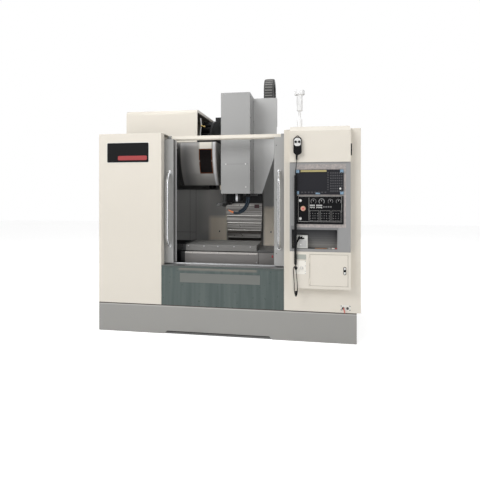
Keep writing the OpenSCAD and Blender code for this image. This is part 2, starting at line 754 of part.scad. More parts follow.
// Sheet-steel electrical cabinet behind the column
module electrical_cabinet() {
    y = [column_back, rear_y - ecab_door_t - 2];
    depth = y[1] - y[0];
    color([0.86, 0.84, 0.80]) from_front() {
        difference() {
            block(ecab_x, y, [ecab_z, ecab_top]);
            block(ecab_x + [sheet, -sheet], [y[0] + sheet, y[1] + 1],
                [ecab_z + sheet, ecab_top - sheet]);
        }
        // Mounting plate with drives and contactors
        block(ecab_x + [50, -50], [y[0] + sheet, y[0] + 12], [ecab_z + 80, ecab_top - 80]);
        for (i = [0:3])
            block([ecab_x[0] + 120 + i * 190, ecab_x[0] + 270 + i * 190], [y[0] + 12, y[0] + depth * 0.5],
                [ecab_top - 620, ecab_top - 240]);
        for (i = [0:7])
            block([ecab_x[0] + 120 + i * 95, ecab_x[0] + 195 + i * 95], [y[0] + 12, y[0] + depth * 0.3],
                [ecab_z + 560, ecab_z + 660]);
        // Hinge barrels
        for (z = [ecab_z + 150, ecab_top - 250])
            translate([ecab_x[0] - 9, rear_y - ecab_door_t - 12, z]) {
                difference() {
                    cylinder(r = 8, h = 50);
                    translate([0, 0, -1]) cylinder(r = 4.3, h = 52);
                }
                translate([4, -12, 0]) cube([5, 12, 50]);
            }
    }
}

// Door of the electrical cabinet with its hinge pins and two locks
module cabinet_door() {
    y = [rear_y - ecab_door_t, rear_y - 6];
    color([0.86, 0.84, 0.80]) from_front() {
        translate([0, y[0] + y[1], 0]) mirror([0, 1, 0])
            front_tray(ecab_x, y, [ecab_z + 1, ecab_top - 1], sheet);
        for (z = [ecab_z + 150, ecab_top - 250])
            translate([ecab_x[0] - 9, rear_y - ecab_door_t - 12, z]) {
                cylinder(r = 4, h = 80);
                translate([0, 0, 52]) cylinder(r = 8, h = 28);
                translate([0, 4, 52]) cube([9, 12, 28]);
            }
        for (z = [ecab_z + 400, ecab_top - 400])
            rod_y(16, ecab_x[1] - 60, [y[1], rear_y], z);
    }
}

// Coolant pump on the tank's deck
module coolant_pump() {
    color([0.30, 0.36, 0.42]) from_front() translate([x1 - 420, tray_d - 95, tray_h]) {
        cylinder(r = 85, h = 12);
        cylinder(r = 60, h = 70);
        translate([0, 0, 70]) cylinder(r = 70, h = 180);
        translate([0, 0, 250]) cylinder(r = 62, h = 25);
        translate([55, -35, 110]) cube([60, 70, 90]);
        translate([-110, 0, 0]) cylinder(r = 17, h = 62);
        translate([-110, 0, 45]) rotate([0, 90, 0]) cylinder(r = 17, h = 60);
    }
}

// Upper cover of the tool magazine, open to the right and below
module magazine_cover() {
    x = [x0 + 71, x0 + 71 + magazine_cover_w];
    y = [magazine_y - drum_r, magazine_y - drum_r + magazine_cover_d];
    z = [magazine_z + 85, magazine_top];
    r = magazine_edge_r;
    color([0.92, 0.89, 0.84]) from_front() {
        difference() {
            magazine_cover_body(x, y, z, r);
            magazine_cover_body(x + [sheet, 1], y + [sheet, -sheet], z - [1, sheet], r - sheet);
        }
        // Flange around the open end
        difference() {
            magazine_cover_body([x[1] - sheet, x[1]], y + [sheet, -sheet], z + [30, -sheet],
                r - sheet);
            magazine_cover_body([x[1] - 2 * sheet, x[1] + 1], y + [30, -30], z - [1, 30], r - 25);
        }
    }
}

// Outer shape of the upper cover: a box with its front upper edge rounded
module magazine_cover_body(x, y, z, r) {
    translate([x[0], 0, 0]) rotate([90, 0, 90]) linear_extrude(x[1] - x[0]) {
        translate([y[0] + r, z[0]]) square([y[1] - y[0] - r, z[1] - z[0]]);
        translate([y[0], z[0]]) square([y[1] - y[0], z[1] - z[0] - r]);
        translate([y[0] + r, z[1] - r]) circle(r);
    }
}

// A wedge of the drum's wall between two angles above the front
module drum_arc(x, r, a, b) {
    translate([x[0], magazine_y, magazine_z]) rotate([0, 90, 0]) rotate([0, 0, -90 - b])
        rotate_extrude(angle = b - a) translate([r[0], 0]) square([r[1] - r[0], x[1] - x[0]]);
}

// Round cover of the magazine's drum, cut flat and open below
module drum_cover() {
    floor_drop = magazine_z - drum_z;
    color([0.90, 0.88, 0.84]) from_front() difference() {
        rod_x(drum_r, drum_x, magazine_y, magazine_z);
        rod_x(drum_r - sheet, [drum_x[0] - 1, drum_x[1] - sheet], magazine_y, magazine_z);
        // Open above the upper cover's edge and below the flat edge
        block([drum_x[0] - 1, drum_x[1] + 1], [magazine_y - 600, magazine_y + 600],
            [magazine_z + 85, magazine_z + 600]);
        block([drum_x[0] - 1, drum_x[1] + 1], [magazine_y - 600, magazine_y + 600],
            [magazine_z - 600, magazine_z - floor_drop]);
        // Cut back in front of the column and around the arm's gearbox
        block([drum_x[1] - 20, drum_x[1] + 1], [head_back - 10, magazine_y + 600],
            [magazine_z - 600, magazine_z + 600]);
        block([drum_x[1] - 20, drum_x[1] + 1], [arm_y - 56, head_back], [drum_z - 1, drum_z + 282]);
        block([drum_x[0] - 1, drum_x[1] + 1], [magazine_y + 140, magazine_y + 600],
            [magazine_z - 600, magazine_z + 600]);
        // Window
        drum_arc([drum_x[1] - 195, drum_x[1] - 45], [drum_r - 20, drum_r + 20], -29, 1);
    }
}

// Tinted pane in the drum cover
module drum_window() {
    color([0.25, 0.12, 0.05, 0.8]) from_front()
        drum_arc([drum_x[1] - 195, drum_x[1] - 45], [drum_r - sheet - 1, drum_r + 1], -29, 1);
}

// Main plate, axle, bars, drive motor and arm gearbox of the magazine
module magazine_frame() {
    bar_z = [magazine_z + 85, magazine_z + 115];
    front = magazine_y - drum_r + sheet;
    rear = front + magazine_cover_d - 2 * sheet;
    color([0.30, 0.31, 0.33]) from_front() {
        difference() {
            block(frame_x, [front + 40, rear - 10], [magazine_z - 170, magazine_z + 180]);
            block([frame_x[0] - 1, frame_x[1] + 1], [front + 160, magazine_y - 120],
                [magazine_z - 110, magazine_z + 20]);
        }
        for (y = [front, rear - 30])
            block([x0 + 71 + sheet, frame_x[1]], [y, y + 30], bar_z);
        block(frame_x, [front + 30, front + 40], bar_z);
        block(frame_x, [rear - 10, rear], bar_z);
        block([frame_x[1], column_x[0]], [column_y + 40, column_y + 260],
            [magazine_z - 120, magazine_z + 150]);
        rod_x(25, [disc_x - 30, frame_x[0]], magazine_y, magazine_z);
        rod_x(36, [disc_x - 40, disc_x - 30], magazine_y, magazine_z);
        // Post with the motor of the change unit
        block(frame_x, [rear - 110, rear - 10], [magazine_z + 180, magazine_z + 510]);
        block([frame_x[0] - 125, frame_x[0]], [rear - 110, rear - 10],
            [magazine_z + 360, magazine_z + 510]);
        // Drive motor of the disc on the main plate
        rod_x(55, [frame_x[1], frame_x[1] + 40], magazine_y - 60, magazine_z + 110);
        // Gearbox of the change arm
        difference() {
            block([frame_x[1], arm_x + 29], [arm_y - 50, arm_y + 250], [drum_z + 7, drum_z + 272]);
            translate([arm_x, arm_y, drum_z - 10]) cylinder(r = 22 + fit, h = 260);
        }
        block([frame_x[0], frame_x[1]], [arm_y - 50, arm_y + 250],
            [drum_z + 7, magazine_z - 170]);
    }
}

// Disc with its hub and the ring of fixed tool pots
module magazine_disc() {
    color([0.16, 0.16, 0.17]) from_front() {
        difference() {
            union() {
                rod_x(pot_ring_r + pot_dia / 2 + 5, [disc_x, disc_x + disc_t], magazine_y, magazine_z);
                rod_x(62, [disc_x - 30 + fit, disc_x + disc_t + 10], magazine_y, magazine_z);
            }
            rod_x(25 + fit, [disc_x - 60, disc_x + disc_t + 20], magazine_y, magazine_z);
            // Seat for the pot that swings down
            block([disc_x - 1, disc_x + disc_t + 1],
                [magazine_y - pot_dia / 2 - 0.5, magazine_y + pot_dia / 2 + 0.5],
                [pot_pivot_z - 60, pot_pivot_z + 60]);
        }
        for (i = [1:pot_count - 1]) {
            a = i * 360 / pot_count;
            py = magazine_y + pot_ring_r * sin(a);
            pz = magazine_z - pot_ring_r * cos(a);
            difference() {
                rod_x(pot_dia / 2, [disc_x - pot_l, disc_x], py, pz);
                rod_x(taper_dia / 2, [disc_x - pot_l - 1, disc_x - pot_l + 70], py, pz);
            }
        }
        // Ears for the swinging pot's pin
        for (ear_y = [magazine_y - pot_dia / 2 - 6, magazine_y + pot_dia / 2 + 1])
            difference() {
                block([pot_x - 14, disc_x], [ear_y, ear_y + 5], [pot_pivot_z - 14, pot_pivot_z + 14]);
                rod_y(5 + fit, pot_x, [ear_y - 1, ear_y + 6], pot_pivot_z);
            }
    }
}

// Tool pot that hangs down at the change station, with its pin
module change_pot() {
    color([0.12, 0.12, 0.13]) from_front() {
        difference() {
            translate([pot_x, magazine_y, pot_pivot_z + 36 - pot_l]) cylinder(d = pot_dia, h = pot_l);
            translate([pot_x, magazine_y, pot_pivot_z + 35 - pot_l])
                cylinder(d = taper_dia, h = 71);
        }
        rod_y(5, pot_x, [magazine_y - pot_dia / 2 - 6, magazine_y + pot_dia / 2 + 6], pot_pivot_z);
    }
}

// Shaft that lifts and turns the change arm
module arm_shaft() {
    color([0.75, 0.76, 0.78]) from_front() {
        translate([arm_x, arm_y, arm_z + 45]) cylinder(r = 22, h = drum_z + 112 - arm_z - 45);
        translate([arm_x, arm_y, arm_z - 8]) cylinder(r = 15, h = 60);
        translate([arm_x, arm_y, arm_z - 14]) cylinder(r = 20, h = 6);
    }
}

// Double-ended gripper arm
module change_arm() {
    color([0.55, 0.56, 0.58]) from_front() translate([arm_x, arm_y, arm_z]) difference() {
        union() {
            translate([0, 0, -5 + fit]) cylinder(r = 30, h = 50 - 2 * fit);
            translate([-22, -arm_reach + 30, 0]) cube([44, 2 * arm_reach - 60, 30]);
            for (turn = [0, 180]) rotate([0, 0, turn]) translate([0, -arm_reach + 10, 0])
                linear_extrude(30) {
                    translate([-30, -10]) square([18, 60]);
                    translate([-30, 25]) square([52, 25]);
                    translate([-30, -30]) square([34, 20]);
                }
        }
        translate([0, 0, -10]) cylinder(r = 15 + fit, h = 80);
    }
}

// One plate of the vertical telescopic cover, counted from the lowest
module z_cover_plate(k) {
    n = cover_count - k;
    half = cover_w / 2 - n * 5;
    y = cover_y + n * cover_step;
    z = [cover_z + (k - 1) * cover_rise, cover_z + (k - 1) * cover_rise + cover_h];
    color([0.72, 0.72, 0.71]) from_front() {
        block([way_x - half, way_x + half], [y, y + 2], z);
        for (side = [-1, 1])
            block([way_x + side * (half - 1) - 1, way_x + side * (half - 1) + 1],
                [y, cover_y + 32], z);
        // Wiper lip along the lower edge
        if (k > 1) block([way_x - half + 2, way_x + half - 2], [y + 2, y + cover_step - 0.5],
            [z[0], z[0] + 12]);
        // Folded hem below the plate
        block([way_x - half + 8, way_x + half - 8], [y - 1.5, y], [z[0] - 8, z[0] + 2]);
    }
}

module z_cover_1() {
    z_cover_plate(1);
    // Brackets to the bed under the column
    color([0.72, 0.72, 0.71]) from_front() for (x = [way_x - 105, way_x + 75]) {
        block([x, x + 30], [cover_y + 26, column_y - rail_h - 1], [column_foot, cover_z + 60]);
        block([x, x + 30], [column_y - rail_h - 1, column_y], [column_foot, column_foot + 40]);
    }
}

module z_cover_2() { z_cover_plate(2); }

module z_cover_3() { z_cover_plate(3); }

module z_cover_4() { z_cover_plate(4); }

// Top plate, with the dark apron that hangs it from the head
module z_cover_5() {
    half = cover_w / 2;
    top = cover_z + cover_span;
    z_cover_plate(5);
    color([0.14, 0.14, 0.14]) from_front() {
        block([way_x - half, way_x + half], [cover_y, cover_y + 2], [top, head_z - 9]);
        block([way_x - 150, way_x + 150], [head_back + head_plate_t, cover_y],
            [head_z - 30, head_z - 12]);
    }
}

// A sliding door with its window; in is the side that meets the other door
module door(x, in) {
    mid = (x[0] + x[1]) / 2;
    wz = (door_z + door_top) / 2 + 60;
    wx = [mid - window_w / 2, mid + window_w / 2];
    z = [wz - window_h / 2, wz + window_h / 2];
    edge = in > 0 ? x[1] : x[0];
    difference() {
        front_tray(x, [door_y, door_back], [door_z, door_top], sheet);
        block(wx, [door_y - 1, door_y + sheet + 1], z);
    }
    // Frame behind the window and its pane
    difference() {
        block(wx + [-20, 20], [door_y + sheet, door_y + sheet + pane_t + 12], z + [-20, 20]);
        block(wx + [10, -10], [door_y, door_y + 60], z + [10, -10]);
    }
    block(wx + [-5, 5], [door_y + sheet, door_y + sheet + pane_t], z + [-5, 5]);
    // Hangers over the upper track
    for (hx = [x[0] + 60, x[1] - 100]) {
        block([hx, hx + 40], [door_back, door_back + 6], [door_top - 70, cabinet_h - sheet - 3]);
        block([hx, hx + 40], [door_back + 6, door_back + 22],
            [cabinet_h - sheet - 14 + fit, cabinet_h - sheet - 3]);
    }
    // Stiffening channel behind the leading edge, where the handle is fixed
    block([edge - in * handle_inset - 20, edge - in * handle_inset + 20],
        [door_y + sheet, door_y + sheet + 25], [handle_z - 60, handle_z + handle_h + 60]);
}

// A bow handle of bent tube on the door's leading edge
module bow_handle(x) {
    bend = handle_reach - 4;
    r = handle_dia / 2;
    y = door_y - handle_reach;
    foot = [handle_z + r, handle_z + handle_h - r];
    translate([x, y, foot[0] + bend]) cylinder(r = r, h = foot[1] - foot[0] - 2 * bend);
    for (z = foot) rod_y(r, x, [y + bend, door_y], z);
    for (z = foot) rod_y(r + 5, x, [door_y - 6, door_y], z);
    translate([x, y + bend, foot[0] + bend]) rotate([0, 90, 0]) rotate([0, 0, -90])
        rotate_extrude(angle = 90) translate([bend, 0]) circle(r);
    translate([x, y + bend, foot[1] - bend]) rotate([0, 90, 0]) rotate([0, 0, 180])
        rotate_extrude(angle = 90) translate([bend, 0]) circle(r);
}

module left_door() {
    color([0.65, 0.65, 0.64]) from_front()
        door([door_x0 + door_show - door_w, door_x0 + door_show], 1);
}

module right_door() {
    color([0.65, 0.65, 0.64]) from_front()
        door([door_x1 - door_show - 10, door_x1 - door_show - 10 + door_w], -1);
}

module left_handle() {
    color([0.80, 0.81, 0.83]) from_front() bow_handle(door_x0 + door_show - handle_inset);
}

module right_handle() {
    color([0.80, 0.81, 0.83]) from_front() bow_handle(door_x1 - door_show - 10 + handle_inset + 10);
}

// Saddle casting with its trough for the X rails and four carriages below
module saddle() {
    color([0.60, 0.60, 0.59]) from_front() {
        difference() {
            union() {
                block(saddle_x, saddle_y, [saddle_z + 95, saddle_top]);
                block([axis_x - 340, axis_x + 340], saddle_y + [10, -10], [saddle_z, saddle_z + 95]);
            }
            block(saddle_x + [-1, 1], [table_y - trough_half, table_y + trough_half],
                [trough_z, saddle_top + 1]);
            for (x = [saddle_x[0] + 20, axis_x + 360])
                block([x, x + 180], saddle_y + [30, -30], [saddle_z + 90, trough_z - 30]);
        }
        for (x = [axis_x - saddle_rail, axis_x + saddle_rail], y = [table_y - 170, table_y + 170])
            carriage_y(x, y, [bed_top + 10, saddle_z], 110);
        // Ball nut
        difference() {
            block([axis_x - 38, axis_x + 38], [table_y - 60, table_y + 60], [bed_top - 4, saddle_z]);
            rod_y(screw_dia / 2 + fit, axis_x, [table_y - 61, table_y + 61], bed_top + 26);
        }
    }
}

// X rails, ball screw and motor on the saddle
module x_axis_drive() {
    z = trough_z + 24;
    color([0.45, 0.46, 0.48]) from_front() {
        for (y = [table_y - table_rail, table_y + table_rail])
            block(saddle_x + [5, -5], [y - rail_w / 2, y + rail_w / 2], [trough_z, trough_z + rail_h]);
        rod_x(screw_dia / 2, saddle_x + [10, 0], table_y, z);
        block([saddle_x[0] + 2, saddle_x[0] + 32], [table_y - 32, table_y + 32], [trough_z, trough_z + 46]);
        block([saddle_x[1] - 32, saddle_x[1]], [table_y - 32, table_y + 32], [trough_z, trough_z + 46]);
        block([saddle_x[1], saddle_x[1] + 12], [table_y - 70, table_y + 70], [z - 70, z + 34]);
        block([saddle_x[1] + 12, saddle_x[1] + 130], [table_y - 52, table_y + 52], [z - 70, z + 34]);
    }
}

// Worktable with its T-slots and four carriages below
module worktable() {
    y = [table_y - table_w / 2, table_y + table_w / 2];
    middle = (table_x[0] + table_x[1]) / 2;
    span = (slot_count - 1) / 2;
    color([0.62, 0.61, 0.60]) from_front() {
        difference() {
            block(table_x, y, [table_z, table_top]);
            for (i = [-span:span]) {
                sy = table_y + i * slot_pitch;
                block(table_x + [-1, 1], [sy - slot_w / 2, sy + slot_w / 2], [table_top - 32, table_top + 1]);
                block(table_x + [-1, 1], [sy - slot_foot / 2, sy + slot_foot / 2],
                    [table_top - 32, table_top - 18]);
            }
        }
        for (x = [middle - 220, middle + 220], ry = [table_y - table_rail, table_y + table_rail])
            carriage_x(x, ry, [trough_z + 10, table_z], 90);
        difference() {
            block([middle - 50, middle + 50], [table_y - 32, table_y + 32], [trough_z + 2, table_z]);
            rod_x(screw_dia / 2 + fit, [middle - 51, middle + 51], table_y, trough_z + 24);
        }
    }
}

// A way cover bent from sheet: a top with a skirt in front and behind
module way_cover(x, end) {
    y = [table_y - table_w / 2 + 10, table_y + table_w / 2 - 10];
    z = [saddle_top + 2, saddle_top + 20];
    difference() {
        block(x, y, z);
        block(x + (end > 0 ? [-1, -sheet] : [sheet, 1]), y + [sheet, -sheet], z - [1, sheet]);
    }
}

// Sheet covers that follow the table over the ends of the X ways
module table_way_covers() {
    color([0.34, 0.34, 0.34]) from_front() {
        way_cover([table_x[1], saddle_x[1]], 1);
        way_cover([table_x[0] - 200, table_x[0]], -1);
    }
}

// Head casting with its rear plate, four carriages and the spindle's bore
module head_casting() {
    plate_y = [head_back, head_back + head_plate_t];
    color([0.60, 0.61, 0.60]) from_front() {
        difference() {
            union() {
                block([axis_x - head_w / 2, axis_x + head_w / 2], [spindle_y - 110, head_back],
                    [head_z, head_z + 560]);
                block([axis_x - rail_x, axis_x + rail_x], plate_y, [head_z - 30, head_z + 520]);
            }
            translate([axis_x, spindle_y, head_z - 1]) cylinder(r = nose_dia / 2 - 8 + fit, h = 600);
            // Pockets in the casting's sides
            for (x = [axis_x - head_w / 2, axis_x + head_w / 2])
                block([x - 44, x + 44], [spindle_y + 160, head_back - 60], [head_z + 60, head_z + 480]);
        }
        for (x = [axis_x - rail_x, axis_x + rail_x], z = [head_z + 60, head_z + 420])
            difference() {
                block([x - rail_w / 2 - 20, x + rail_w / 2 + 20], [plate_y[1], column_y - 8],
                    [z - 50, z + 50]);
                block([x - rail_w / 2 - rail_gap, x + rail_w / 2 + rail_gap],
                    [column_y - rail_h - rail_gap, column_y], [z - 51, z + 51]);
            }
        // Ball nut and its bracket
        difference() {
            union() {
                block([axis_x - 40, axis_x + 40], [plate_y[1], column_y - 10],
                    [head_z + 190, head_z + 290]);
                translate([axis_x, column_y + 5, head_z + 190]) cylinder(r = 34, h = 100);
            }
            translate([axis_x, column_y + 5, head_z + 180]) cylinder(r = 20 + fit, h = 120);
        }
    }
}

// Sheet cover around the front of the head, open behind and below
module head_front_cover() {
    x = [axis_x - head_cover_w / 2, axis_x + head_cover_w / 2];
    y = [head_cover_y, head_cover_y + head_cover_d];
    color([0.69, 0.69, 0.69]) from_front() {
        difference() {
            block(x, y, [head_z, head_top]);
            block(x + [sheet, -sheet], [y[0] + sheet, y[1] + 1], [head_z - 1, head_top - sheet]);
        }
        // Brackets to the casting
        for (side = [-1, 1], z = [head_z + 60, head_z + 500])
            block(side > 0 ? [axis_x + head_w / 2, x[1] - sheet] : [x[0] + sheet, axis_x - head_w / 2],
                [spindle_y, spindle_y + 4], [z, z + 40]);
    }
}

// Grey plate at the head's right side, with the duct that takes the cable chain
module head_side_cover() {
    y = head_cover_y + head_cover_d;
    x = axis_x + head_w / 2;
    right = axis_x + side_cover_reach;
    duct = [[chain_x - sheet - rail_gap, right],
        [y + 5, chain_y + chain_t / 2 + rail_gap + sheet]];
    color([0.69, 0.69, 0.69]) from_front() {
        translate([0, y + 5, 0]) rotate([90, 0, 0]) linear_extrude(5)
            polygon([[x + 41, head_top], [right, head_top], [right, head_top - 589],
                [right - 169, head_z], [x + 41, head_z]]);
        difference() {
            block(duct[0], duct[1], [head_top - 320, head_top]);
            block(duct[0] + [sheet, -sheet], duct[1] + [0, -sheet], [head_top - 321, head_top + 1]);
            // Room for the chain's bend when the head is high
            block(duct[0] + [sheet, -sheet], duct[1] + [0, 1], [head_top - 80, head_top + 1]);
        }
        for (z = [head_z + 60, head_z + 500])
            block([x, x + 100], [y + 5, y + 12], [z, z + 40]);
    }
}

// Spindle motor on the head casting
module spindle_motor() {
    z = head_z + 560;
    color([0.20, 0.21, 0.23]) from_front() {
        difference() {
            block([axis_x - 105, axis_x + 105], [spindle_y - 105, spindle_y + 105], [z, z + 60]);
            translate([axis_x, spindle_y, z - 1]) cylinder(r = 62, h = 50);
        }
        block([axis_x - 95, axis_x + 95], [spindle_y - 95, spindle_y + 95], [z + 60, z + 380]);
        translate([axis_x, spindle_y, z + 380]) cylinder(r = 85, h = 60);
    }
}

// Spindle with its taper, nose ring and two drive keys
module spindle() {
    color([0.62, 0.63, 0.65]) from_front() translate([axis_x, spindle_y, nose_z]) difference() {
        union() {
            cylinder(r1 = nose_dia / 2 - 14, r2 = nose_dia / 2, h = 16);
            translate([0, 0, 16]) cylinder(r = nose_dia / 2, h = head_z - nose_z - 16 - 1);
            cylinder(r = nose_dia / 2 - 8, h = head_z - nose_z + 545);
            for (side = [-1, 1])
                translate([side * 38 - 8, -8, -7]) cube([16, 16, 8]);
        }
        translate([0, 0, -0.01]) cylinder(d1 = taper_dia, d2 = taper_dia - taper_l * 7 / 24, h = taper_l);
        translate([0, 0, taper_l - 0.1]) cylinder(d = 18, h = 500);
    }
}

// Two jointed coolant hoses with their nozzles under the head
module coolant_hoses() {
    block_x = axis_x + head_cover_w / 2 - sheet;
    color([0.10, 0.14, 0.24]) from_front() {
        block([block_x - 50, block_x], [head_cover_y + 30, spindle_y - 115], [head_z - 36, head_z + 16]);
        for (route = hose_routes) {
            n = len(route);
            sizes = [for (i = [0:n - 1]) i == n - 1 ? 12 : i == n - 2 ? 22 : hose_dia];
            swept_tube(route, sizes, 12);
        }
    }
}

// Mushroom head of the emergency stop on its stem
module emergency_stop() {
    x = console_x + 123;
    z = panel_z + 398;
    y = panel_y - 8;
    color([0.75, 0.10, 0.08]) from_front() {
        rod_y(9, x, [y - 14, y + 2], z);
        translate([x, y - 14, z]) rotate([90, 0, 0]) cylinder(d1 = stop_dia - 8, d2 = stop_dia, h = 6);
        translate([x, y - 20, z]) rotate([90, 0, 0]) cylinder(d1 = stop_dia, d2 = stop_dia - 8, h = 7);
    }
}

// A rotary override knob with its pointer
module override_knob(x) {
    z = panel_z + 463;
    y = panel_y - 8;
    rod_y(knob_dia / 2, x, [y - 5, y - fit], z);
    rod_y(knob_dia / 2 - 3, x, [y - 22, y - 5], z);
    block([x - 2, x + 2], [y - 24, y - 22], [z, z + knob_dia / 2 - 3]);
}

module feed_knob() {
    color([0.10, 0.10, 0.10]) from_front() override_knob(console_x + 290);
}

module spindle_knob() {
    color([0.10, 0.10, 0.10]) from_front() override_knob(console_x + 371);
}

// Door of the storage compartment, hinged on its left
module storage_door() {
    sx = console_x + console_w - 20 - storage_w;
    sz = panel_z - 20 - storage_h;
    y = -console_d;
    color([0.91, 0.88, 0.84]) from_front() {
        block([sx + 1, sx + storage_w - 1], [y - 2, y + sheet - 0.5], [sz + 1, sz + storage_h - 1]);
        round_plate([sx + storage_w - 44, sx + storage_w - 20], [y - 6, y - 2],
            [sz + storage_h / 2 - 38, sz + storage_h / 2 + 38], 11);
        for (z = [sz + 30, sz + storage_h - 70]) translate([sx - 5, y - 5, z]) {
            difference() {
                cylinder(r = 4, h = 40);
                translate([0, 0, -1]) cylinder(r = 2 + fit, h = 42);
            }
            translate([3, 1, 0]) cube([5, 2.5, 40]);
        }
    }
}

// Hand pendant housing on its hook, with its two selector knobs
module pendant() {
    x = pendant_x;
    y = [-console_d - 34, -console_d - 4];
    color([0.90, 0.89, 0.86]) from_front() {
        round_plate([x - 37, x + 37], y, [panel_top + 75, panel_top + 226], 18);
        block([x - 20, x + 20], [y[1], -console_d], [panel_top + 165, panel_top + 215]);
        for (kx = [x - 16, x + 16]) rod_y(11, kx, [y[0] - 12, y[0]], panel_top + 184);
        translate([x - 8, coil_y, panel_top + 20]) cylinder(r1 = 7, r2 = 10, h = 60);
    }
}

// Handwheel of the pendant with its small crank
module pendant_wheel() {
    x = pendant_x;
    y = -console_d - 34;
    z = panel_top + 101;
    color([0.08, 0.08, 0.08]) from_front() {
        difference() {
            rod_y(wheel_dia / 2, x, [y - 11, y - fit], z);
            rod_y(wheel_dia / 2 - 8, x, [y - 12, y - 8], z);
        }
        rod_y(12, x, [y - 12, y - fit], z);
        rod_y(5, x + wheel_dia / 2 - 12, [y - 16, y - 8], z);
    }
}

// Outer shape of the curly cord
module pendant_cord_coil() {
    color([0.09, 0.09, 0.10]) from_front()
        translate([705, coil_y, 742]) cylinder(d = coil_dia, h = 826);
}

// A tube swept along a list of points, with a ring of points of the given diameter at each
module swept_tube(points, dias, sides) {
    n = len(points);
    function along(i) = let (d = points[min(i + 1, n - 1)] - points[max(i - 1, 0)]) d / norm(d);
    function side_of(i) = let (c = cross(along(i), [0, 1, 0])) c / norm(c);
    rings = [for (i = [0:n - 1], k = [0:sides - 1]) let (a = k * 360 / sides, s = side_of(i),
        t = cross(along(i), s)) points[i] + dias[i] / 2 * (s * cos(a) + t * sin(a))];
    walls = [for (i = [0:n - 2], k = [0:sides - 1]) let (j = (k + 1) % sides)
        [(i + 1) * sides + k, (i + 1) * sides + j, i * sides + j, i * sides + k]];
    first = [for (k = [0:sides - 1]) k];
    last = [for (k = [0:sides - 1]) n * sides - 1 - k];
    polyhedron(rings, concat([first], walls, [last]));
}

// Straight ends of the pendant's cord: above the coil, and the loop below it
module pendant_cord() {
    top = [[pendant_x - 8, coil_y, panel_top + 20], [712, coil_y, 1680], [708, coil_y, 1650],
        [705, coil_y, 1610], [705, coil_y, 1568]];
    color([0.09, 0.09, 0.10]) from_front() {
        for (route = [top, cord_route]) swept_tube(route, [for (p = route) cord_dia], 8);
    }
}

// Angled plug of the pendant's cord
module pendant_plug() {
    color([0.08, 0.08, 0.09]) from_front() {
        rod_y(13, console_x + 59, [-console_d - 36, -console_d - 9], panel_z - 147);
        translate([console_x + 59, -122, 696]) cylinder(r = 7, h = 22);
    }
}

base_tray();
levelling_feet();
machine_bed();
column();
y_axis_drive();
z_axis_drive();
front_panel_left();
front_panel_right();
enclosure_panels();
header_beam();
sill_panel();
door_sill();
splash_guards();
rear_splash_panels();
console_box();
operator_panel();
display_unit();
machine_panel();
socket_plates();
signal_tower();
cable_chain();
electrical_cabinet();
coolant_pump();
magazine_cover();
drum_cover();
drum_window();
magazine_frame();
z_cover_1();
left_door();
left_handle();
right_door();
right_handle();
saddle();
x_axis_drive();
worktable();
table_way_covers();
head_casting();
head_front_cover();
head_side_cover();
spindle_motor();
spindle();
coolant_hoses();
z_cover_2();
z_cover_3();
z_cover_4();
z_cover_5();
magazine_disc();
change_pot();
arm_shaft();
change_arm();
emergency_stop();
feed_knob();
spindle_knob();
storage_door();
cabinet_door();
pendant();
pendant_wheel();
pendant_cord_coil();
pendant_cord();
pendant_plug();
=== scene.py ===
"""Looks of a vertical machining centre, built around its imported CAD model. Metres, +Z up."""

import math

import bmesh
import bpy
import numpy as np
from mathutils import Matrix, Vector


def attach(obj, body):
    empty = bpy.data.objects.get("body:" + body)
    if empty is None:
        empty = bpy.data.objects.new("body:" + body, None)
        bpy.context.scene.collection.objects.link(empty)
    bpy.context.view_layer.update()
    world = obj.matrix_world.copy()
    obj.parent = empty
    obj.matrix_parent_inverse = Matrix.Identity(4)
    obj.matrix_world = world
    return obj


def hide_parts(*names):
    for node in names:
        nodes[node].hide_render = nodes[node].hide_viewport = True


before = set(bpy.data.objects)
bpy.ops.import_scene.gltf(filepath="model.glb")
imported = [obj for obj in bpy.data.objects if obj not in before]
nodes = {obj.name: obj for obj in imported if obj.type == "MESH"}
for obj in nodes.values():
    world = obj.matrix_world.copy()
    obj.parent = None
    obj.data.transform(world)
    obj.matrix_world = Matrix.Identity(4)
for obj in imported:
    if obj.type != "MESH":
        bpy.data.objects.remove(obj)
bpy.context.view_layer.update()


# Camera: a 32 mm view from head height, a little right of the middle and turned to the left,
# set to the photograph's angle. The lens is shifted so that upright edges stay upright.
camera_data = bpy.data.cameras.new("camera")
focal_px, photo_px, sensor_mm = 425.0, 480.0, 36.0
camera_data.sensor_width = sensor_mm
camera_data.lens = focal_px / photo_px * sensor_mm
camera_data.shift_y = -0.1
camera_data.clip_end = 60.0
camera = bpy.data.objects.new("camera", camera_data)
bpy.context.scene.collection.objects.link(camera)
camera.location = (0.853, -5.057, 1.412)
camera.rotation_euler = (math.radians(90.0), 0.0, math.radians(9.6))
bpy.context.scene.camera = camera


# The pendant's cord: a curly rubber lead. It leaves the pendant's gland, hangs as a coil as
# wide as a thumb, and its straight tail loops below and comes back up into the plug.
def mesh_piece(name, verts, faces, smooth=True):
    """A mesh object at the origin from an array of points and a list of faces, turned outwards."""
    mesh = bpy.data.meshes.new(name)
    mesh.from_pydata(np.asarray(verts, float).tolist(), [], [tuple(f) for f in faces])
    shape = bmesh.new()
    shape.from_mesh(mesh)
    bmesh.ops.recalc_face_normals(shape, faces=shape.faces)
    shape.to_mesh(mesh)
    shape.free()
    mesh.polygons.foreach_set("use_smooth", np.full(len(mesh.polygons), smooth))
    mesh.update()
    piece = bpy.data.objects.new(name, mesh)
    bpy.context.scene.collection.objects.link(piece)
    return piece


def grid_faces(rows, cols):
    """Quads of a grid of rows by cols points, whose last column is joined to the first."""
    i, k = np.meshgrid(np.arange(rows - 1), np.arange(cols), indexing="ij")
    j = (k + 1) % cols
    return np.stack([i * cols + k, i * cols + j, (i + 1) * cols + j, (i + 1) * cols + k],
                    -1).reshape(-1, 4)


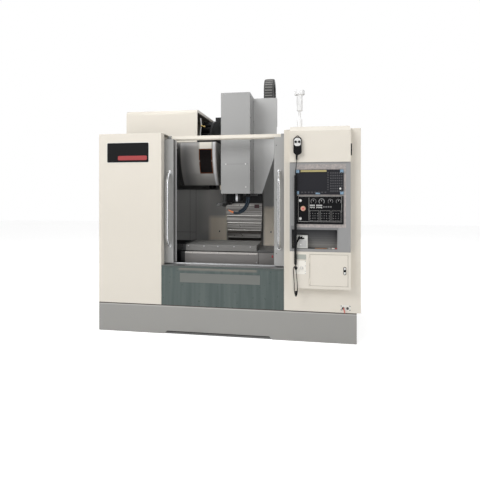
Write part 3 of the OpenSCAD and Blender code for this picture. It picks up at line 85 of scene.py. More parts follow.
def smooth_route(points, steps):
    """Catmull-Rom curve through the points: a cubic blend of each four neighbours."""
    p = np.array(points, float)
    p = np.vstack([2 * p[0] - p[1], p, 2 * p[-1] - p[-2]])
    t = np.linspace(0, 1, steps, endpoint=False)[:, None]
    a, b, c, d = p[:-3, None], p[1:-2, None], p[2:-1, None], p[3:, None]
    curve = 0.5 * (2 * b + (c - a) * t + (2 * a - 5 * b + 4 * c - d) * t**2
                   + (3 * b - a - 3 * c + d) * t**3)
    return np.vstack([curve.reshape(-1, 3), p[-2:-1]])


def distances(path):
    """Distance of each point from the first, along the path."""
    return np.concatenate([[0], np.cumsum(np.linalg.norm(np.diff(path, axis=0), axis=1))])


def tube(name, path, radius, sides=10, squash=1.0):
    """Circle of the given radius carried along the path: at each point two axes across the
    path, found by cross products with a fixed guide, span the ring. Both ends are closed."""
    path = np.array(path, float)
    radius = np.broadcast_to(np.asarray(radius, float), (len(path),))
    along = np.gradient(path, axis=0)
    along /= np.linalg.norm(along, axis=1)[:, None]
    guide = np.where(np.abs(along[:, 1:2]) < 0.9, [[0.0, 1.0, 0.0]], [[1.0, 0.0, 0.0]])
    across = np.cross(along, guide)
    across /= np.linalg.norm(across, axis=1)[:, None]
    up = np.cross(along, across)
    a = np.linspace(0, 2 * np.pi, sides, endpoint=False)[None, :, None]
    ring = across[:, None] * np.cos(a) + up[:, None] * np.sin(a) * squash
    verts = (path[:, None] + radius[:, None, None] * ring).reshape(-1, 3)
    faces = [tuple(f) for f in grid_faces(len(path), sides)]
    n = len(path) * sides
    faces += [tuple(range(sides - 1, -1, -1)), tuple(range(n - sides, n))]
    return mesh_piece(name, verts, faces)


def add(tree, kind, **values):
    """A new shader node with some of its inputs set. In their names _ stands for a space."""
    new = tree.nodes.new("ShaderNode" + kind)
    for name, value in values.items():
        new.inputs[name.replace("_", " ")].default_value = value
    return new


def shader(name, color, rough=0.5, metal=0.0, coat=0.0, bump=0.0, mottle=0.0, shine=0.5):
    """A Principled material. Its colour and roughness are mottled, and its surface is bumped,
    by noises on Object coordinates."""
    mat = bpy.data.materials.new(name)
    mat.use_nodes = True
    tree = mat.node_tree
    link = tree.links.new
    bsdf = tree.nodes["Principled BSDF"]
    for field, value in (("Base Color", (*color, 1.0)), ("Roughness", rough), ("Metallic", metal),
                         ("Coat Weight", coat), ("Specular IOR Level", shine)):
        bsdf.inputs[field].default_value = value
    place = add(tree, "TexCoord").outputs["Object"]
    noise = add(tree, "TexNoise", Scale=40.0, Detail=3.0)
    span = add(tree, "MapRange", To_Min=max(rough - 0.08, 0.02), To_Max=min(rough + 0.08, 1.0))
    link(place, noise.inputs["Vector"])
    link(noise.outputs["Fac"], span.inputs["Value"])
    link(span.outputs["Result"], bsdf.inputs["Roughness"])
    if mottle:
        broad = add(tree, "TexNoise", Scale=2.2)
        mix = add(tree, "Mix")
        mix.data_type = "RGBA"
        mix.inputs["A"].default_value = (*[c * (1 - mottle) for c in color], 1.0)
        mix.inputs["B"].default_value = (*[min(c * (1 + mottle), 1.0) for c in color], 1.0)
        link(place, broad.inputs["Vector"])
        link(broad.outputs["Fac"], mix.inputs["Factor"])
        link(mix.outputs["Result"], bsdf.inputs["Base Color"])
    if bump:
        fine = add(tree, "TexNoise", Scale=320.0)
        relief = add(tree, "Bump", Strength=bump, Distance=0.001)
        link(place, fine.inputs["Vector"])
        link(fine.outputs["Fac"], relief.inputs["Height"])
        link(relief.outputs["Normal"], bsdf.inputs["Normal"])
    return mat


def give(piece, mat):
    """Puts one material on a piece."""
    piece.data.materials.clear()
    piece.data.materials.append(mat)


def fit(piece, mat, body="frame", stands_for=None):
    """Finishes a new piece: its material, the body that it rides on, and the CAD node that it
    stands for, if it stands for one."""
    give(piece, mat)
    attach(piece, body)
    if stands_for:
        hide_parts(stands_for)


cord_rubber = shader("cord_rubber", (0.004, 0.004, 0.0045), rough=0.55, bump=0.1, shine=0.2)
coil_top, coil_bottom = 1.568, 0.742
turns, coil_r, lead_d = 92, 0.0104, 0.007
coil_x, coil_y = 0.705, -1.118
lead_top = smooth_route([(0.715, coil_y, 1.707), (0.7135, coil_y, 1.69), (0.712, coil_y, 1.672),
                         (0.7095, coil_y, 1.645), (0.707, coil_y, 1.615), (0.7055, coil_y, 1.592),
                         (coil_x, coil_y, coil_top + 0.008)], 3)
s = np.linspace(0, 1, turns * 14 + 1)
reach = coil_r * np.clip(np.minimum(s, 1 - s) * turns / 0.8, 0, 1) ** 0.5
coil = np.stack([coil_x + reach * np.cos(s * turns * 2 * np.pi),
                 coil_y + reach * np.sin(s * turns * 2 * np.pi),
                 coil_top + (coil_bottom - coil_top) * s], -1)
tail = smooth_route([(coil_x, coil_y, coil_bottom - 0.006), (0.702, coil_y, 0.731),
                     (0.695, coil_y, 0.724), (0.688, coil_y, 0.715), (0.685, -1.118, 0.702),
                     (0.685, -1.118, 0.68), (0.687, -1.118, 0.65), (0.69, -1.118, 0.61),
                     (0.692, -1.119, 0.57), (0.693, -1.12, 0.53), (0.695, -1.12, 0.497),
                     (0.7, -1.121, 0.472), (0.709, -1.121, 0.46), (0.717, -1.121, 0.468),
                     (0.721, -1.12, 0.49), (0.722, -1.12, 0.53), (0.72, -1.12, 0.58),
                     (0.716, -1.121, 0.63), (0.712, -1.122, 0.668), (0.709, -1.122, 0.686),
                     (0.709, -1.122, 0.696)], 3)
lead_path = np.vstack([lead_top, coil[1:-1], tail])
pendant_lead = tube("pendant_lead", lead_path, lead_d / 2, sides=8)
give(pendant_lead, cord_rubber)
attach(pendant_lead, "frame")
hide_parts("pendant_cord_coil", "pendant_cord")
sleeve_path = smooth_route([(0.709, -1.121, z) for z in (0.502, 0.478, 0.454)], 4)
loop_sleeve = tube("cord_loop_sleeve", sleeve_path, 0.0088, sides=16)
fit(loop_sleeve, cord_rubber)
give(nodes["pendant_plug"], cord_rubber)


# Floor, world and lamps: a white studio sweep under four large soft lamps. The camera, gloss and
# glass see it white, and the floor keeps the machine's shadow.
def combine(tree, how, a, b):
    """The result of a maths node on two values. Each is a socket or a number."""
    step = tree.nodes.new("ShaderNodeMath")
    step.operation = how
    for value, goal in zip((a, b), step.inputs):
        if isinstance(value, float):
            goal.default_value = value
        else:
            tree.links.new(value, goal)
    return step.outputs[0]


def white_where_seen(tree):
    """A value that is 1 for camera, glossy and transmission rays, and 0 for all others."""
    path = add(tree, "LightPath").outputs
    seen = combine(tree, "MAXIMUM", path["Is Camera Ray"], path["Is Glossy Ray"])
    return combine(tree, "MAXIMUM", seen, path["Is Transmission Ray"])


world = bpy.data.worlds.new("studio")
bpy.context.scene.world = world
world.use_nodes = True
tree = world.node_tree
link = tree.links.new
white = (1.0, 1.0, 1.0, 1.0)
dim = tree.nodes["Background"]
dim.inputs["Color"].default_value = white
dim.inputs["Strength"].default_value = 0.34
bright = add(tree, "Background", Color=white, Strength=1.0)
mixer = add(tree, "MixShader")
link(white_where_seen(tree), mixer.inputs["Fac"])
link(dim.outputs[0], mixer.inputs[1])
link(bright.outputs[0], mixer.inputs[2])
link(mixer.outputs[0], tree.nodes["World Output"].inputs["Surface"])

floor = mesh_piece("floor", [(-14, -14, 0), (14, -14, 0), (14, 14, 0), (-14, 14, 0)],
                   [(0, 1, 2, 3)], False)
floor_mat = bpy.data.materials.new("floor_white")
floor_mat.use_nodes = True
tree = floor_mat.node_tree
link = tree.links.new
matt = tree.nodes["Principled BSDF"]
matt.inputs["Base Color"].default_value = (0.82, 0.82, 0.82, 1.0)
matt.inputs["Roughness"].default_value = 0.9
glow = add(tree, "Emission", Strength=0.62)
both = add(tree, "AddShader")
pick = add(tree, "MixShader")
link(matt.outputs[0], both.inputs[0])
link(glow.outputs[0], both.inputs[1])
link(white_where_seen(tree), pick.inputs["Fac"])
link(matt.outputs[0], pick.inputs[1])
link(both.outputs[0], pick.inputs[2])
link(pick.outputs[0], tree.nodes["Material Output"].inputs["Surface"])
floor.data.materials.append(floor_mat)


def lamp(name, place, aim, size, power):
    """A square area lamp at place that points at aim."""
    data = bpy.data.lights.new(name, "AREA")
    data.size = size
    data.energy = power
    lamp_object = bpy.data.objects.new(name, data)
    lamp_object.location = place
    lamp_object.rotation_euler = (Vector(aim) - Vector(place)).to_track_quat("-Z", "Y").to_euler()
    bpy.context.scene.collection.objects.link(lamp_object)


lamp("key", (-3.2, -6.5, 5.2), (0.0, 0.0, 1.2), 3.5, 250)
lamp("fill", (5.0, -6.0, 3.2), (0.0, 0.0, 1.2), 4.0, 110)
lamp("top", (0.0, -1.0, 6.5), (0.0, 0.0, 0.5), 4.0, 110)
lamp("back", (-2.0, 6.0, 4.0), (0.0, 0.0, 1.2), 4.0, 110)
bpy.context.scene.view_settings.view_transform = "Standard"


# Sheet-metal enclosure: cream powder-coated panels with softly rounded folds. Behind the doors the
# inner faces are painted grey as painted shade, and the header beam is painted a lighter cream as a
# painted highlight. The left cabinet carries a blank name plate with a red bar.
def soften(node, width):
    """Welds a CAD node's loose triangles and rounds its sharp edges by the given width."""
    weld = nodes[node].modifiers.new("weld", "WELD")
    weld.merge_threshold = 0.00005
    bevel = nodes[node].modifiers.new("round", "BEVEL")
    bevel.width = width
    bevel.segments = 2
    bevel.limit_method = "ANGLE"
    bevel.angle_limit = math.radians(40)
    return nodes[node]


def zone(mat, x=None, y=None, z=None, soft=0.002):
    """A value that is 1 inside a box in Object coordinates and 0 outside it. It is the product
    of one ramp for each side that is given, and each ramp is as wide as soft."""
    tree = mat.node_tree
    split = add(tree, "SeparateXYZ")
    tree.links.new(add(tree, "TexCoord").outputs["Object"], split.inputs[0])
    result = None
    for axis, span in (("X", x), ("Y", y), ("Z", z)):
        for edge, half in zip(span or (), (soft / 2, -soft / 2)):
            ramp = add(tree, "MapRange", From_Min=edge - half, From_Max=edge + half)
            tree.links.new(split.outputs[axis], ramp.inputs["Value"])
            side = ramp.outputs["Result"]
            result = side if result is None else combine(tree, "MULTIPLY", result, side)
    return result


def streaks(mat, stretch, low=0.35, high=0.65, detail=2.0):
    """Noise on Object coordinates multiplied by stretch, cut to 0 below low and 1 above high."""
    tree = mat.node_tree
    link = tree.links.new
    scale = add(tree, "Mapping", Scale=stretch)
    noise = add(tree, "TexNoise", Scale=1.0, Detail=detail)
    ramp = add(tree, "MapRange", From_Min=low, From_Max=high)
    link(add(tree, "TexCoord").outputs["Object"], scale.inputs["Vector"])
    link(scale.outputs["Vector"], noise.inputs["Vector"])
    link(noise.outputs["Fac"], ramp.inputs["Value"])
    return ramp.outputs["Result"]


def tint(mat, mask, color, rough=None, metal=None, share=1.0):
    """Lays a colour, and a roughness and metalness if given, over the shader where mask is 1."""
    tree = mat.node_tree
    link = tree.links.new
    if share < 1.0:
        mask = combine(tree, "MULTIPLY", mask, share)
    for name, value in (("Base Color", (*color, 1.0)), ("Roughness", rough), ("Metallic", metal)):
        if value is None:
            continue
        goal = tree.nodes["Principled BSDF"].inputs[name]
        mix = add(tree, "Mix")
        mix.data_type = "RGBA" if name == "Base Color" else "FLOAT"
        sockets = [i for i in mix.inputs if i.enabled]
        under, over = [i for i in sockets if i.name in ("A", "B")]
        if goal.is_linked:
            link(goal.links[0].from_socket, under)
        else:
            under.default_value = goal.default_value
        over.default_value = value
        link(mask, sockets[0])
        link([o for o in mix.outputs if o.enabled][0], goal)


def paint(mat, color, rough=None, metal=None, share=1.0, **box):
    """Tints the part of a material that lies in a box in Object coordinates."""
    tint(mat, zone(mat, **box), color, rough, metal, share)


def plates(name, boxes, y, out, r=0.003, edge=0.0008, bend=5):
    """Flat plates that face the front, one for each row x0, x1, z0, z1 of boxes. The outline has
    quarter circles of radius r at its corners. It is carried forward from y by out, and its front
    is drawn in by a quarter circle of radius edge."""
    b = np.array(boxes, float)
    q = np.linspace(0, np.pi / 2, bend)
    angle = np.concatenate([q, q + np.pi / 2, q + np.pi, q + 1.5 * np.pi])
    right = np.repeat([True, False, False, True], bend)
    upper = np.repeat([True, True, False, False], bend)
    t = np.linspace(0, np.pi / 2, 4)
    inset = np.concatenate([[0.0], edge * (1 - np.cos(t))])
    depth = np.concatenate([[0.0], out - edge * (1 - np.sin(t))])
    mid_x = np.where(right, b[:, 1:2] - r, b[:, 0:1] + r)[:, None]
    mid_z = np.where(upper, b[:, 3:4] - r, b[:, 2:3] + r)[:, None]
    x = mid_x + (r - inset)[None, :, None] * np.cos(angle)
    z = mid_z + (r - inset)[None, :, None] * np.sin(angle)
    front = np.broadcast_to((y - depth)[None, :, None], x.shape)
    verts = np.stack([x, front, z], -1).reshape(-1, 3)
    rows, cols = len(inset), len(angle)
    first = np.arange(len(b))[:, None] * rows * cols
    walls = (grid_faces(rows, cols)[None] + first[:, :, None]).reshape(-1, 4)
    caps = np.concatenate([first + np.arange(cols), first + (rows - 1) * cols + np.arange(cols)])
    return mesh_piece(name, verts, walls.tolist() + caps.tolist(), False)


def spun(name, centres, profile, facing=(0.0, -1.0, 0.0), sides=20):
    """A profile of (radius, height) pairs turned about the facing direction at each centre: point
    = centre + height * facing + radius * (cosine * one cross axis + sine * the other)."""
    c = np.array(centres, float).reshape(-1, 1, 1, 3)
    f = np.array(facing, float)
    u = np.cross(f, (0.0, 0.0, 1.0) if abs(f[2]) < 0.9 else (1.0, 0.0, 0.0))
    u /= np.linalg.norm(u)
    a = np.linspace(0, 2 * np.pi, sides, endpoint=False)[:, None]
    ring = u * np.cos(a) + np.cross(f, u) * np.sin(a)
    p = np.array(profile, float)
    verts = (c + p[None, :, None, 1:] * f + p[None, :, None, :1] * ring[None, None]).reshape(-1, 3)
    first = np.arange(len(c))[:, None] * len(p) * sides
    walls = (grid_faces(len(p), sides)[None] + first[:, :, None]).reshape(-1, 4)
    caps = np.concatenate([first + np.arange(sides),
                           first + (len(p) - 1) * sides + np.arange(sides)])
    return mesh_piece(name, verts, walls.tolist() + caps.tolist())


def screw_profile(r, h):
    """Profile of a domed screw head with a shallow socket."""
    return [(r, 0.0), (r, h * 0.4), (r * 0.93, h * 0.75), (r * 0.75, h), (r * 0.42, h),
            (r * 0.4, h * 0.35)]


cream_paint = shader("cream_paint", (0.77, 0.722, 0.638), rough=0.42, coat=0.1, bump=0.04,
                     mottle=0.02)
for node, width in (("front_panel_left", 0.004), ("front_panel_right", 0.004),
                    ("electrical_cabinet", 0.003), ("cabinet_door", 0.003)):
    give(soften(node, width), cream_paint)
# The header beam's paint is a lighter copy of the cream: a painted highlight.
header_lit_paint = shader("header_lit_paint", (0.87, 0.82, 0.73), rough=0.42, coat=0.1, bump=0.04,
                      mottle=0.02)
give(soften("header_beam", 0.0015), header_lit_paint)
enclosure_inner_shade = shader("enclosure_paint", (0.77, 0.722, 0.638), rough=0.42, coat=0.1, bump=0.04,
                     mottle=0.02)
# The inner faces of the panels are painted dark grey: painted shade inside the enclosure.
paint(enclosure_inner_shade, (0.16, 0.16, 0.16), x=(-1.2985, 1.2985), y=(-0.95, 0.5485), z=(0.2, 2.0025),
      soft=0.0004)
give(soften("enclosure_panels", 0.002), enclosure_inner_shade)

# The rear wall and the splash guards are cream; their grey is painted shade inside the enclosure.
wall_light_and_shade = shader("wall_light_and_shade", (0.35, 0.35, 0.345), rough=0.55, bump=0.06, mottle=0.06)
# A broad lighter area is painted light.
paint(wall_light_and_shade, (0.5, 0.49, 0.475), x=(-0.5, -0.15), z=(0.9, 1.6), soft=0.12)
# Two warm pale patches are painted pools of light.
for x, z in (((-0.425, -0.15), (0.7, 1.1)), ((0.262, 0.43), (0.7, 1.22))):
    paint(wall_light_and_shade, (1.0, 0.9, 0.76), x=x, z=z, soft=0.05)
for x in (-0.685, -0.606):
    paint(wall_light_and_shade, (0.03, 0.03, 0.03), x=(x - 0.0015, x + 0.0015), z=(0.7, 1.5), soft=0.001)
paint(wall_light_and_shade, (0.03, 0.03, 0.03), x=(-0.98, -0.606), z=(0.8985, 0.9015), soft=0.001)
# The lower left corner is painted near black: painted shade.
paint(wall_light_and_shade, (0.006, 0.006, 0.008), x=(-1.1, -0.56), z=(0.2, 0.795), soft=0.006)
give(soften("rear_splash_panels", 0.0008), wall_light_and_shade)
wall_screws = spun("wall_screws", [(-0.299, 0.204, 0.915), (0.353, 0.204, 0.916)],
                   screw_profile(0.009, 0.004))
dark_steel = shader("dark_steel", (0.055, 0.057, 0.058), rough=0.42, bump=0.06, mottle=0.1)
fit(wall_screws, dark_steel)
give(soften("splash_guards", 0.001), wall_light_and_shade)

cabinet_y = -1.0
plate_rim = plates("name_plate_rim", [(-1.212, -0.76, 1.708, 1.913)], cabinet_y, 0.0022, r=0.014,
                   edge=0.001)
plate_face = plates("name_plate_face", [(-1.208, -0.764, 1.712, 1.909)], cabinet_y, 0.0032, r=0.011)
plate_bar = plates("name_plate_bar", [(-1.092, -0.782, 1.734, 1.778)], -1.003, 0.0012, r=0.012,
                   edge=0.0006)
white_plastic = shader("white_plastic", (0.8, 0.8, 0.78), rough=0.35, coat=0.2)
black_plastic = shader("black_plastic", (0.007, 0.007, 0.008), rough=0.45, bump=0.05, shine=0.1)
red_plastic = shader("red_plastic", (0.36, 0.028, 0.03), rough=0.35, coat=0.2)
fit(plate_rim, white_plastic)
fit(plate_face, black_plastic)
fit(plate_bar, red_plastic)


# Base tray: grey painted plinth. Its top edge is a lighter lip, and a dark rubber seal runs
# between it and the cabinets.
tray_grey = shader("tray_grey", (0.325, 0.32, 0.305), rough=0.45, coat=0.05, bump=0.05, mottle=0.03)
paint(tray_grey, (0.47, 0.46, 0.44), y=(-1.01, -0.985), z=(0.268, 0.2785))
paint(tray_grey, (0.03, 0.02, 0.016), y=(-1.01, -0.985), z=(0.2785, 0.3), soft=0.001)
give(soften("base_tray", 0.003), tray_grey)
# A dark sheet behind the tray's notch is painted shade: it stands for the shadow under the tray,
# and it is darkest along its top.
notch_shade_sheet = plates("tray_notch_skirt", [(-0.606, 0.486, 0.002, 0.029)], -0.9905, 0.0012, r=0.0005,
                     edge=0.0003)
notch_shade_grey = shader("notch_shade_grey", (0.13, 0.13, 0.127), rough=0.6)
paint(notch_shade_grey, (0.015, 0.014, 0.013), z=(0.0175, 0.04), soft=0.004)
fit(notch_shade_sheet, notch_shade_grey)


# Sill panel: a polished sheet under the doorway, whose grey-green is a painted reflection of a
# green floor, with faint upright streaks and a lighter arc of painted reflection at its top. Its
# label strip is a plain plate.
# The grey-green base colour is a painted reflection of a green floor.
sill_mat = shader("polished_sill", (0.042, 0.064, 0.06), rough=0.3, coat=0.2, bump=0.02)
tint(sill_mat, streaks(sill_mat, (22.0, 1.0, 1.1), 0.42, 0.72), (0.095, 0.122, 0.113), share=0.6)
# The lighter band at the top is a painted reflection.
paint(sill_mat, (0.19, 0.175, 0.15), share=0.85, x=(-0.45, 0.33), z=(0.64, 0.7), soft=0.022)
give(soften("sill_panel", 0.002), sill_mat)
sill_label = plates("sill_label", [(-0.437, 0.362, 0.519, 0.609)], cabinet_y, 0.0015, r=0.002,
                    edge=0.0006)
label_mat = shader("sill_label", (0.155, 0.163, 0.152), rough=0.4, bump=0.02, mottle=0.06)
fit(sill_label, label_mat)
ground_steel = shader("ground_steel", (0.46, 0.465, 0.47), rough=0.32, metal=0.9, bump=0.03)
ledge_mat = shader("ledge_steel", (0.46, 0.465, 0.47), rough=0.32, metal=0.9, bump=0.03)
paint(ledge_mat, (0.06, 0.078, 0.072), metal=0.0, y=(-1.01, -0.9945), z=(0.2, 0.683), soft=0.0005)
give(soften("door_sill", 0.0006), ledge_mat)


# Sliding doors: grey painted frames with a tinted window. The left door's edge shows a dark seam
# and a bright lip, and the right door's edge has a trim strip. Small screws sit beside the edges.
door_grey = shader("door_grey", (0.4, 0.4, 0.395), rough=0.4, coat=0.05, bump=0.03, mottle=0.03)
# The left door is painted a little darker than the right, though both have one paint: painted
# shade.
paint(door_grey, (0.32, 0.32, 0.315), x=(-1.3, -0.5), soft=0.01)
for y, grey in (((-0.897, -0.862), 0.05), ((-0.862, -0.825), 0.3), ((-0.825, -0.78), 0.62)):
    paint(door_grey, (grey, grey, grey), x=(-0.5385, -0.53), y=y, soft=0.0008)
for x in ((-1.0485, -0.6485), (0.5985, 0.9985)):
    paint(door_grey, (0.02, 0.022, 0.024), rough=0.06, x=x, y=(-0.899, -0.88), z=(1.0, 1.76),
          soft=0.001)
for node in ("left_door", "right_door"):
    give(soften(node, 0.002), door_grey)
edge_strip = plates("right_door_strip", [(0.4885, 0.4972, 0.7, 1.945)], -0.899, 0.0015, r=0.002)
fit(edge_strip, shader("door_strip", (0.38, 0.38, 0.375), rough=0.3), "right_door")
screw_z = (1.87, 1.335, 0.811)
left_screws = spun("left_door_screws", [(-0.5375, -0.882, z) for z in screw_z],
                   screw_profile(0.0055, 0.0025), facing=(1.0, 0.0, 0.0))
right_screws = spun("right_door_screws", [(0.5105, -0.9, z) for z in screw_z],
                    screw_profile(0.0045, 0.0025))
fit(left_screws, dark_steel, "left_door")
fit(right_screws, dark_steel, "right_door")


# Door handles: chromed bow handles of bent tube near the doors' meeting edges. Each end has a
# round foot that is screwed to the door.
chrome = shader("chrome_tube", (0.7, 0.705, 0.71), rough=0.24, metal=0.9)
# Dark upright bands down the tubes are a painted reflection of a dark room.
for x in ((-0.5825, -0.5745), (0.5365, 0.5425)):
    paint(chrome, (0.09, 0.095, 0.1), x=x, y=(-1.2, -0.93), soft=0.0015)
for node, x in (("left_handle", -0.5795), ("right_handle", 0.5395)):
    low, high, front, back = 0.865, 1.611, -0.973, -0.902
    rise = [(0.0, 0.0), (-0.01, 0.003), (-0.027, 0.018), (-0.044, 0.04), (-0.059, 0.064),
            (-0.068, 0.086), (-0.071, 0.11), (-0.071, 0.15)]
    route = ([(x, back + y, low + z) for y, z in rise] + [(x, front, 1.24)]
             + [(x, back + y, high - z) for y, z in rise[::-1]])
    bow = tube(node + "_bow", smooth_route(route, 6), 0.015, sides=24)
    feet = spun(node + "_feet", [(x, -0.9, low), (x, -0.9, high)],
                [(0.02, 0.0), (0.02, 0.004), (0.0185, 0.006), (0.0155, 0.0065)], sides=28)
    for piece in (bow, feet):
        fit(piece, chrome, node.replace("handle", "door"), node)


# Head: painted sheet cover with a row of dark screws along its side, and bare screws in front.
# The front is painted darker towards its bottom as painted shade, and the side is a lighter copy of
# the grey as painted light. The casting under it is painted nearly black as painted shade.
head_grey = shader("head_grey", (0.365, 0.365, 0.362), rough=0.36, coat=0.12, bump=0.03,
                   mottle=0.03)
paint(head_grey, (0.12, 0.12, 0.12), x=(-0.1, 0.18), y=(-0.56, -0.54), z=(1.7125, 1.7145),
      soft=0.0008)
# The front cover's lower part is painted darker: painted shade.
paint(head_grey, (0.21, 0.208, 0.2), share=0.75, y=(-0.56, -0.54), z=(1.38, 1.66), soft=0.22)
give(soften("head_front_cover", 0.002), head_grey)
# The side cover's grey is a lighter copy of the head's grey, lighter again at the top: painted
# light.
lit_side_grey = shader("head_side_grey", (0.5, 0.5, 0.495), rough=0.4, coat=0.1, bump=0.03, mottle=0.03)
paint(lit_side_grey, (0.74, 0.74, 0.73), z=(1.0, 2.0), soft=0.12)
give(soften("head_side_cover", 0.002), lit_side_grey)
side_screws = spun("head_side_screws",
                   [(0.199, y, z) for y in (-0.52, -0.25) for z in (1.43, 1.65, 1.96, 2.214, 2.44)],
                   screw_profile(0.007, 0.003), facing=(1.0, 0.0, 0.0))
fit(side_screws, dark_steel, "head")
front_screws = spun("head_front_screws", [(-0.065, -0.55, 1.713), (0.15, -0.55, 1.713),
                                          (0.154, -0.55, 1.466)],
                    screw_profile(0.007, 0.003))
fit(front_screws, white_plastic, "head")
casting_grey = shader("casting_grey", (0.28, 0.285, 0.28), bump=0.15, mottle=0.05)
# The head casting is painted nearly black: painted shade under the head.
paint(casting_grey, (0.012, 0.012, 0.013), x=(-0.2, 0.3), y=(-0.48, 0.13), z=(1.3, 2.0))
for node in ("machine_bed", "column", "head_casting"):
    give(soften(node, 0.004), casting_grey)


# Spindle nose and axis drives: turned and ground steel, bolted to the head and the castings. The
# nose is dark with two bright bands painted on as painted highlights. The spindle's motor is
# painted black.
nose_highlight_steel = shader("nose_highlight_steel", (0.035, 0.035, 0.037), rough=0.35, metal=0.6)
# Two bright bands down the nose are painted highlights.
paint(nose_highlight_steel, (0.72, 0.73, 0.75), metal=0.8, x=(0.016, 0.042), z=(1.305, 1.4), soft=0.003)
paint(nose_highlight_steel, (0.6, 0.61, 0.63), x=(-0.028, -0.018), z=(1.31, 1.345))
give(soften("spindle", 0.0006), nose_highlight_steel)
for node in ("y_axis_drive", "z_axis_drive", "x_axis_drive"):
    give(soften(node, 0.0006), ground_steel)
motor_black = shader("motor_black", (0.025, 0.027, 0.03), rough=0.4, bump=0.05)
give(soften("spindle_motor", 0.002), motor_black)


# Coolant hoses: two hoses of snap-together plastic segments, which stay as they are bent. They
# hang from a black block on the head, and one ends in an orange nozzle.
hose_blue = shader("hose_blue", (0.006, 0.016, 0.028), rough=0.4, shine=0.3)
nozzle_orange = shader("nozzle_orange", (0.72, 0.2, 0.06), rough=0.35, coat=0.2)
routes = ([(0.183, 1.362), (0.182, 1.335), (0.179, 1.31), (0.172, 1.284), (0.162, 1.26),
           (0.149, 1.237), (0.132, 1.216), (0.111, 1.2), (0.086, 1.189), (0.06, 1.184),
           (0.034, 1.184), (0.01, 1.189)],
          [(0.16, 1.362), (0.159, 1.335), (0.155, 1.31), (0.148, 1.286), (0.138, 1.263),
           (0.125, 1.243), (0.109, 1.227), (0.092, 1.214), (0.078, 1.205)])
tips = ([(0.014, 1.188), (-0.01, 1.197), (-0.028, 1.206), (-0.045, 1.214)],
        [(0.08, 1.207), (0.072, 1.202), (0.066, 1.1985), (0.0625, 1.1965)])
for i, (y, route, tip) in enumerate(zip((-0.5, -0.476), routes, tips)):
    path = smooth_route([(x, y, z) for x, z in route], 14)
    run = distances(path)
    hose = tube(f"hose_{i + 1}", path, 0.0105 + 0.0022 * np.abs(np.sin(run * np.pi / 0.017)),
                sides=20)
    nozzle = tube(f"hose_{i + 1}_nozzle", smooth_route([(x, y, z) for x, z in tip], 4),
                  np.linspace(0.0108, 0.0052, 13), sides=20)
    fit(hose, hose_blue, "head", "coolant_hoses")
    fit(nozzle, nozzle_orange if i == 0 else hose_blue, "head", "coolant_hoses")
hose_block = plates("hose_block", [(0.147, 0.1955, 1.3585, 1.41)], -0.476, 0.043, r=0.004,
                    edge=0.002)
fit(hose_block, black_plastic, "head", "coolant_hoses")


# Telescopic way cover of the column: brushed steel plates, streaked by coolant. Each plate's hem
# has a painted highlight with painted shade under it, and the cover is painted near black at its
# bottom and its top as painted shade.
cover_steel = shader("cover_steel", (0.3, 0.29, 0.28), rough=0.3, metal=0.55, bump=0.05)
tint(cover_steel, streaks(cover_steel, (1.6, 1.0, 90.0), 0.4, 0.62, 3.0), (0.1, 0.09, 0.082),
     share=0.75)
tint(cover_steel, streaks(cover_steel, (0.8, 1.0, 34.0), 0.52, 0.66, 2.0), (0.62, 0.6, 0.57),
     share=0.7)
for k in range(5):
    low = 0.76 + 0.09 * k
    # A bright band on each hem is a painted highlight, and a dark band under it is painted shade.
    paint(cover_steel, (0.8, 0.78, 0.74), rough=0.2, z=(low - 0.009, low + 0.002), y=(0.0, 0.1935),
          soft=0.001)
    paint(cover_steel, (0.03, 0.027, 0.024), z=(low - 0.02, low - 0.0095))
# The lower part of the cover is painted near black: painted shade.
paint(cover_steel, (0.022, 0.018, 0.015), z=(0.5, 0.835), soft=0.02)
paint(cover_steel, (0.035, 0.026, 0.02), share=0.85, z=(0.892, 0.925), soft=0.012)
# Above 1.272 m the plates are painted near black: painted shade under the head.
paint(cover_steel, (0.01, 0.01, 0.011), rough=0.6, metal=0.0, z=(1.272, 1.5))
for k in range(1, 6):
    give(soften(f"z_cover_{k}", 0.0005), cover_steel)
maroon_plate = plates("cover_plate", [(0.15, 0.211, 1.212, 1.257)], 0.17, 0.0015, r=0.002,
                      edge=0.0006)
fit(maroon_plate, shader("maroon", (0.075, 0.018, 0.025), rough=0.4), "head")


# Saddle, table and their covers: grey iron table with a bright machined edge, sheet covers that
# have bare screws in front. Their left ends and the saddle's lower part are painted near black as
# painted shade.
shade_x = (-0.9, -0.467)
cast_table = shader("cast_table", (0.165, 0.162, 0.155), rough=0.42, metal=0.35, bump=0.06,
                    mottle=0.1)
paint(cast_table, (0.21, 0.208, 0.2), share=0.8, z=(0.853, 0.87))
# The table's left end is painted near black: painted shade.
paint(cast_table, (0.004, 0.004, 0.005), metal=0.0, x=shade_x)
give(soften("worktable", 0.0012), cast_table)
saddle_mat = shader("saddle_grey", (0.2, 0.19, 0.183), rough=0.45, bump=0.06, mottle=0.06)
# The saddle's left end is painted near black: painted shade.
paint(saddle_mat, (0.004, 0.004, 0.005), x=(-0.9, -0.472))
# The saddle's lower part is painted near black: painted shade above the sill.
paint(saddle_mat, (0.006, 0.006, 0.006), z=(0.5, 0.656))
give(soften("saddle", 0.003), saddle_mat)
cover_mat = shader("table_cover", (0.15, 0.147, 0.142), rough=0.4, bump=0.05, mottle=0.08)
paint(cover_mat, (0.085, 0.085, 0.085), x=(0.27, 0.62), soft=0.003)
